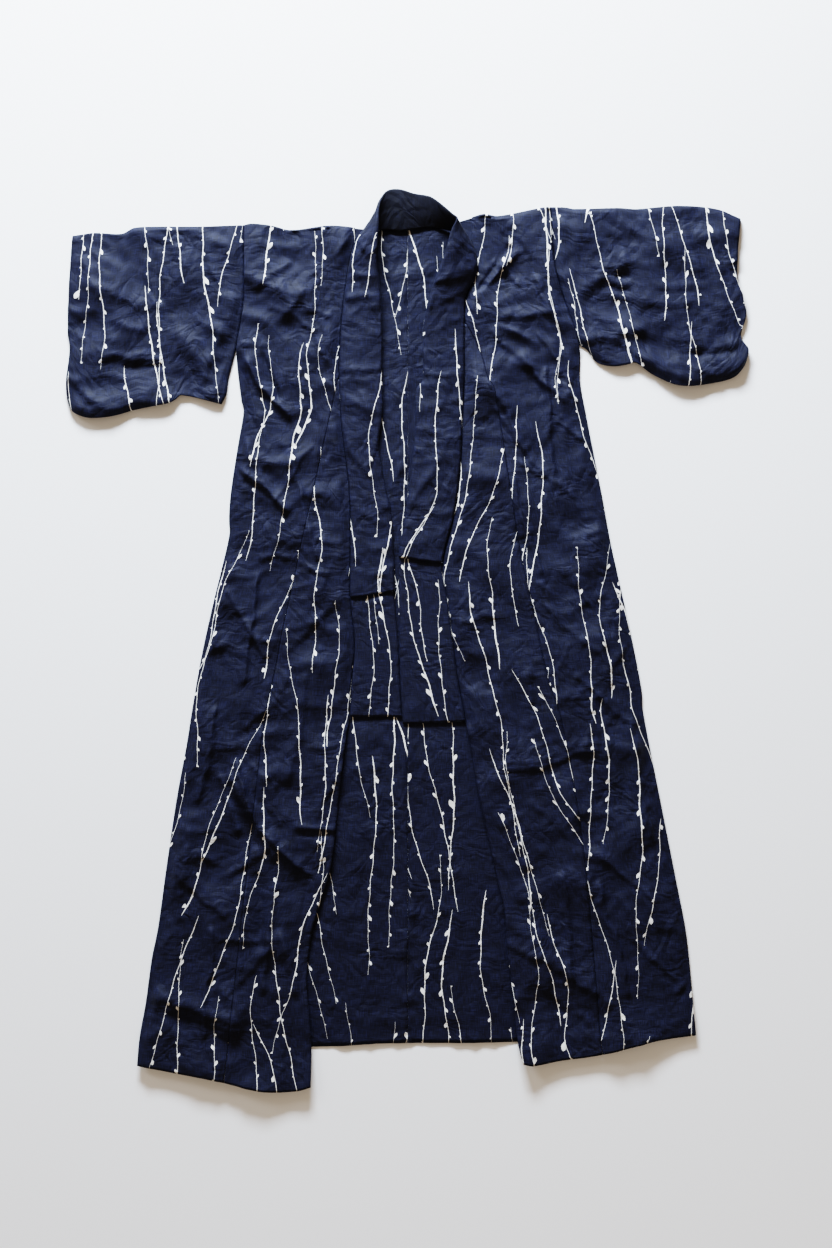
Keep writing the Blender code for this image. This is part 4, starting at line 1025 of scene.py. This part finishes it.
def sleeve(side):
    """A tube of cloth, flattened: upper layer, lower edge, under layer and the fold on top."""
    rows = Rows(side)
    s = sign(side)
    inner = rows.side[: rows.under + 1].copy()
    if SLEEVE_LOW_IN[side]:
        low = even(SLEEVE_LOW_IN[side], np.linspace(0, 1, SLEEVE_LOW_STEPS + 1))[1:]
        inner = np.concatenate([inner, low])
    inner[:, 0] += s * SEAM_GAP
    shares = np.linspace(0, 1, SLEEVE_STEPS + 1)
    above = np.concatenate([inner[:1], SLEEVE_TOP[side][1:]])
    below = np.concatenate([inner[-1:], SLEEVE_BOTTOM[side][1:]])
    flat = patch(above, below, inner, CUFF[side], shares)
    x, y = flat[..., 0], flat[..., 1]
    wx, wy = wandered(x, y)
    under = BACK_Z + sleeve_rise(x, y)
    off_edge = np.minimum(np.abs(y - y[-1:]), np.abs(y - y[:1]) + 8)
    off_seam = np.abs(x - x[:, :1])
    cuff_seam = puckers(np.abs(x - x[:, -1:]) - HEM_DEPTH, y, 51, 6, 0.35)
    fine = SLEEVE_CREASE_GAIN * folds(SLEEVE_CREASES, wx, wy) + crumples(x, y) + cuff_seam
    fine += SLACK * (1 + sway(x, y, 70, 17)) + facets(SLEEVE_FACETS, x, y)
    at_edges = smooth(off_seam / EDGE_TAPER) * (0.25 + 0.75 * smooth(off_edge / 14))
    fine = np.maximum(fine, FLOOR_OF_CREASES) * at_edges
    high = folds(FRONT_FOLDS, wx, wy) * (0.35 + 0.65 * smooth(np.abs(y - y[-1:]) / EDGE_TAPER))
    upper = under + (FRONT_Z - BACK_Z) + high + fine
    top, top_ways = turn(flat[0], under[0], upper[0], outwards(flat[0], flat[1], 1))
    bottom, bottom_ways = turn(flat[-1], under[-1], upper[-1], outwards(flat[-1], flat[-2], -1))
    face, face_ways = with_height(flat[1:-1], upper[1:-1], 1)
    rear, rear_ways = with_height(flat[1:-1], under[1:-1], -1)
    grid = np.concatenate([top, face, bottom[::-1], rear[::-1]])
    ways = np.concatenate([top_ways, face_ways, bottom_ways[::-1], rear_ways[::-1]])
    from_cuff = np.linalg.norm(grid[..., :2] - grid[:, -1:, :2], axis=-1)
    wall = hem_cloth(from_cuff)
    closed = np.concatenate([grid, grid[:1]])
    girth = np.concatenate([[0], np.cumsum(np.linalg.norm(np.diff(closed, axis=0), axis=-1).mean(1))])
    half_way = len(grid) // 2
    lean = SLEEVE_LEAN * np.concatenate([girth[:half_way], girth[: len(closed) - half_way][::-1]])
    from_seam = s * (closed[..., 0] - x[:1, :1]) - lean[:, None]
    uv = np.stack([from_seam, np.repeat(girth[:, None], grid.shape[1], 1)], -1)
    return grid, ways, wall, uv, True


for side, shift in (("left", (1240.0, 200.0)), ("right", (3905.0, 250.0))):
    piece = cut_piece("sleeve_" + side + "_cloth", *sleeve(side))
    cotton = willow_cotton("Willow-print cotton, sleeve " + side, shift, slant=TWIG_SLANT[side])
    piece.data.materials.append(cotton)
    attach(piece, "root")
    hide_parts("sleeve_" + side)

# The collar: one long straight band of the cotton, sewn to both front edges and round the back of the neck.
# It stands round the neck and lies down flat on the fronts, where its ends hang free inside the cover.
COLLAR_STEPS = 22
COLLAR_PITCH = 4.4


def band():
    """Middle surface of the collar and its outward directions, from the left end to the right end."""
    length = distances(STATIONS[:, :3])
    steps = np.linspace(0, length[-1], int(length[-1] / COLLAR_PITCH))
    at = np.interp(steps, length, np.arange(len(length)))
    rows_at = np.stack([np.interp(at, np.arange(len(STATIONS)), STATIONS[:, k]) for k in range(7)], -1)
    share = np.linspace(0, 1, COLLAR_STEPS + 1)[None, :, None]
    grid = rows_at[:, None, :3] * (1 - share) + rows_at[:, None, 3:6] * share
    grid[..., 2] += 4 * share[..., 0] * (1 - share[..., 0]) * rows_at[:, 6:7]
    over = np.swapaxes(lie(np.swapaxes(grid, 0, 1)), 0, 1)
    return at / SOFT_COLLAR_PARTS, grid, unit(np.cross(over, lie(grid)))


def band_uv(grid):
    """The print's place on a long band: across it, then along it."""
    wide = np.array([distances(row) for row in grid])
    length = distances(grid[:, grid.shape[1] // 4])
    return np.stack([wide, np.repeat(length[:, None], grid.shape[1], 1)], -1)


def collar():
    _, grid, out = band()
    return grid, out, np.full(grid.shape[:2], CLOTH), band_uv(grid)


piece = cut_piece("collar_cloth", *collar())
piece.data.materials.append(willow_cotton("Willow-print cotton, collar", (560.0, 900.0)))
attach(piece, "root")
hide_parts("collar")

# The collar cover: a second, shorter band folded lengthwise round the collar to take the wear of the neck.
# Its two long edges are slip-stitched over the collar's seam, and its short ends are turned in on the fronts.
COVER_CLOTH = 0.8
COVER_OUT = WALL / 2 + 0.3 + 1.2 / 2
COVER_ENDS = (3, 36)
COVER_WIDTH = 90
COVER_FACETS = [(2.0, 40, 101), (0.9, 20, 107)]
COVER_TURN = (0, 30, 60, 90, 120, 150, 180)
# Creases across the cover where it bends on the fronts. Columns: from x, y, to x, y, height, half width
COVER_CREASES = [
    (-122, 656, -55, 662, 2.4, 6), (-120, 625, -55, 621, 2.6, 8), (-122, 596, -50, 600, 1.6, 5),
    (-126, 494, -46, 492, 3.0, 5), (-126, 474, -46, 473, 1.6, 5), (-122, 560, -60, 540, 1.4, 7),
    (-122, 440, -50, 410, 1.6, 8), (-118, 350, -60, 300, 2.4, 9), (-105, 240, -35, 215, 1.4, 7),
    (-105, 160, -30, 170, 1.2, 6), (105, 533, 28, 530, 1.6, 5), (105, 519, 28, 517, 1.3, 4),
    (105, 506, 28, 509, 1.8, 5), (105, 486, 28, 484, 2.8, 5), (125, 690, 70, 655, 2.2, 8),
    (120, 650, 55, 610, 2.0, 8), (105, 590, 40, 560, 1.4, 7), (100, 440, 20, 420, 1.5, 7),
    (98, 370, 15, 345, 1.4, 7), (85, 270, 5, 240, 1.4, 7), (65, 170, -12, 185, 1.3, 6),
]
PLAIN_SHADED_NECK = (655.0, 900.0)  # this stretch of the cover, round the back of the neck, has no twigs and carries the painted neck shade


def collar_cover():
    """Folded round the collar's free edge, over its outer face and under its inner one."""
    at, grid, out = band()
    kept = (at >= COVER_ENDS[0]) & (at <= COVER_ENDS[1])
    grid, out = grid[kept], out[kept]
    beyond = unit(np.cross(lie(grid[:, -1]), out[:, -1]))
    beyond *= np.sign((beyond * (grid[:, -1] - grid[:, -2])).sum(-1, keepdims=True))
    turned = [out[:, -1] * np.cos(a) + beyond * np.sin(a) for a in np.radians(COVER_TURN)]
    ways = np.concatenate([out[:, :-1], np.stack(turned, 1), -out[:, -2::-1]], 1)
    middle = np.concatenate([grid[:, :-1], np.repeat(grid[:, -1:], len(COVER_TURN), 1), grid[:, -2::-1]], 1)
    outside = middle + ways * COVER_OUT
    uv = band_uv(outside)
    x, y = outside[..., 0], outside[..., 1]
    share = np.arange(outside.shape[1]) / (grid.shape[1] - 1)
    visible = smooth((1.06 - share) / 0.12)[None] * smooth(share / 0.12)[None]
    along = uv[..., 1]
    from_seam, from_fold = share[None] * COVER_WIDTH, (1 - share[None]) * COVER_WIDTH
    ripple = puckers(from_seam, along, 61, 26, 0.7) + puckers(from_fold, along, 67, 20, 0.5)
    wx, wy = wandered(x, y)
    creased = folds(COVER_CREASES, wx, wy) + facets(COVER_FACETS, x, y)
    fine = np.maximum(0.8 * crumples(x - 31, y + 23) + ripple + creased + 0.3, -0.1)
    outside = outside + ways * (fine * visible)[..., None]
    wall = np.full(outside.shape[:2], COVER_CLOTH)
    return outside, ways, wall, uv


piece = cut_piece("collar_cover_cloth", *collar_cover())
piece.data.materials.append(willow_cotton("Willow-print cotton, collar cover", (2790.0, 150.0), PLAIN_SHADED_NECK))
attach(piece, "root")
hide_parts("collar_cover")

# The floor is a plain pale board. A large cool window beyond the collar lights it, with a softer one at its
# left, a weak warm fill and an even warm room light. None of this is part of the robe.
FLOOR_HALF = 6.0
bm = bmesh.new()
bmesh.ops.create_grid(bm, x_segments=1, y_segments=1, size=FLOOR_HALF)
floor_mesh = bpy.data.meshes.new("floor")
bm.to_mesh(floor_mesh)
bm.free()
floor = bpy.data.objects.new("floor", floor_mesh)
floor.location = (0, 0, -0.0005)
bpy.context.collection.objects.link(floor)
paint = bpy.data.materials.new("Matt white painted board")
paint.use_nodes = True
paint.node_tree.nodes["Principled BSDF"].inputs["Base Color"].default_value = linear("#EDEDEB")
paint.node_tree.nodes["Principled BSDF"].inputs["Roughness"].default_value = 0.9
floor_mesh.materials.append(paint)

# Columns: name, kind, place, aimed at, size, strength, colour.
# An area light's size is its width and height in metres, and a sun's is its width in degrees
LIGHTS = [
    ("window", "AREA", (-0.5, 3.1, 1.22), (0.0, 0.0, 0.0), (1.4, 0.6), 455.0, "#DFEDFF"),
    ("fill", "AREA", (0.6, -2.2, 3.0), (0.0, -0.2, 0.0), (2.5, 2.0), 6.0, "#FFE8D0"),
    ("side window", "SUN", (-1.0, 1.0, 0.62), (0.0, 0.0, 0.0), (14.0,), 0.7, "#F3F7FF"),
]
for name, kind, place, aim, size, strength, colour in LIGHTS:
    light = bpy.data.lights.new(name, kind)
    if kind == "AREA":
        light.shape = "RECTANGLE"
        light.size, light.size_y = size
    else:
        light.angle = math.radians(size[0])
    light.energy = strength
    light.color = linear(colour)[:3]
    lamp = bpy.data.objects.new(name, light)
    lamp.location = place
    way = np.array(aim) - np.array(place)
    down = math.atan2(math.hypot(way[0], way[1]), -way[2])
    lamp.rotation_euler = (down, 0, math.atan2(way[1], way[0]) - math.pi / 2)
    bpy.context.collection.objects.link(lamp)
ROOM_LIGHT, ROOM_STRENGTH = "#FFE9D2", 0.36
world = bpy.data.worlds.new("even room light")
world.use_nodes = True
world.node_tree.nodes["Background"].inputs[0].default_value = linear(ROOM_LIGHT)
world.node_tree.nodes["Background"].inputs[1].default_value = ROOM_STRENGTH
bpy.context.scene.world = world
bpy.context.scene.view_settings.view_transform = "Filmic"
bpy.context.scene.view_settings.look = "High Contrast"
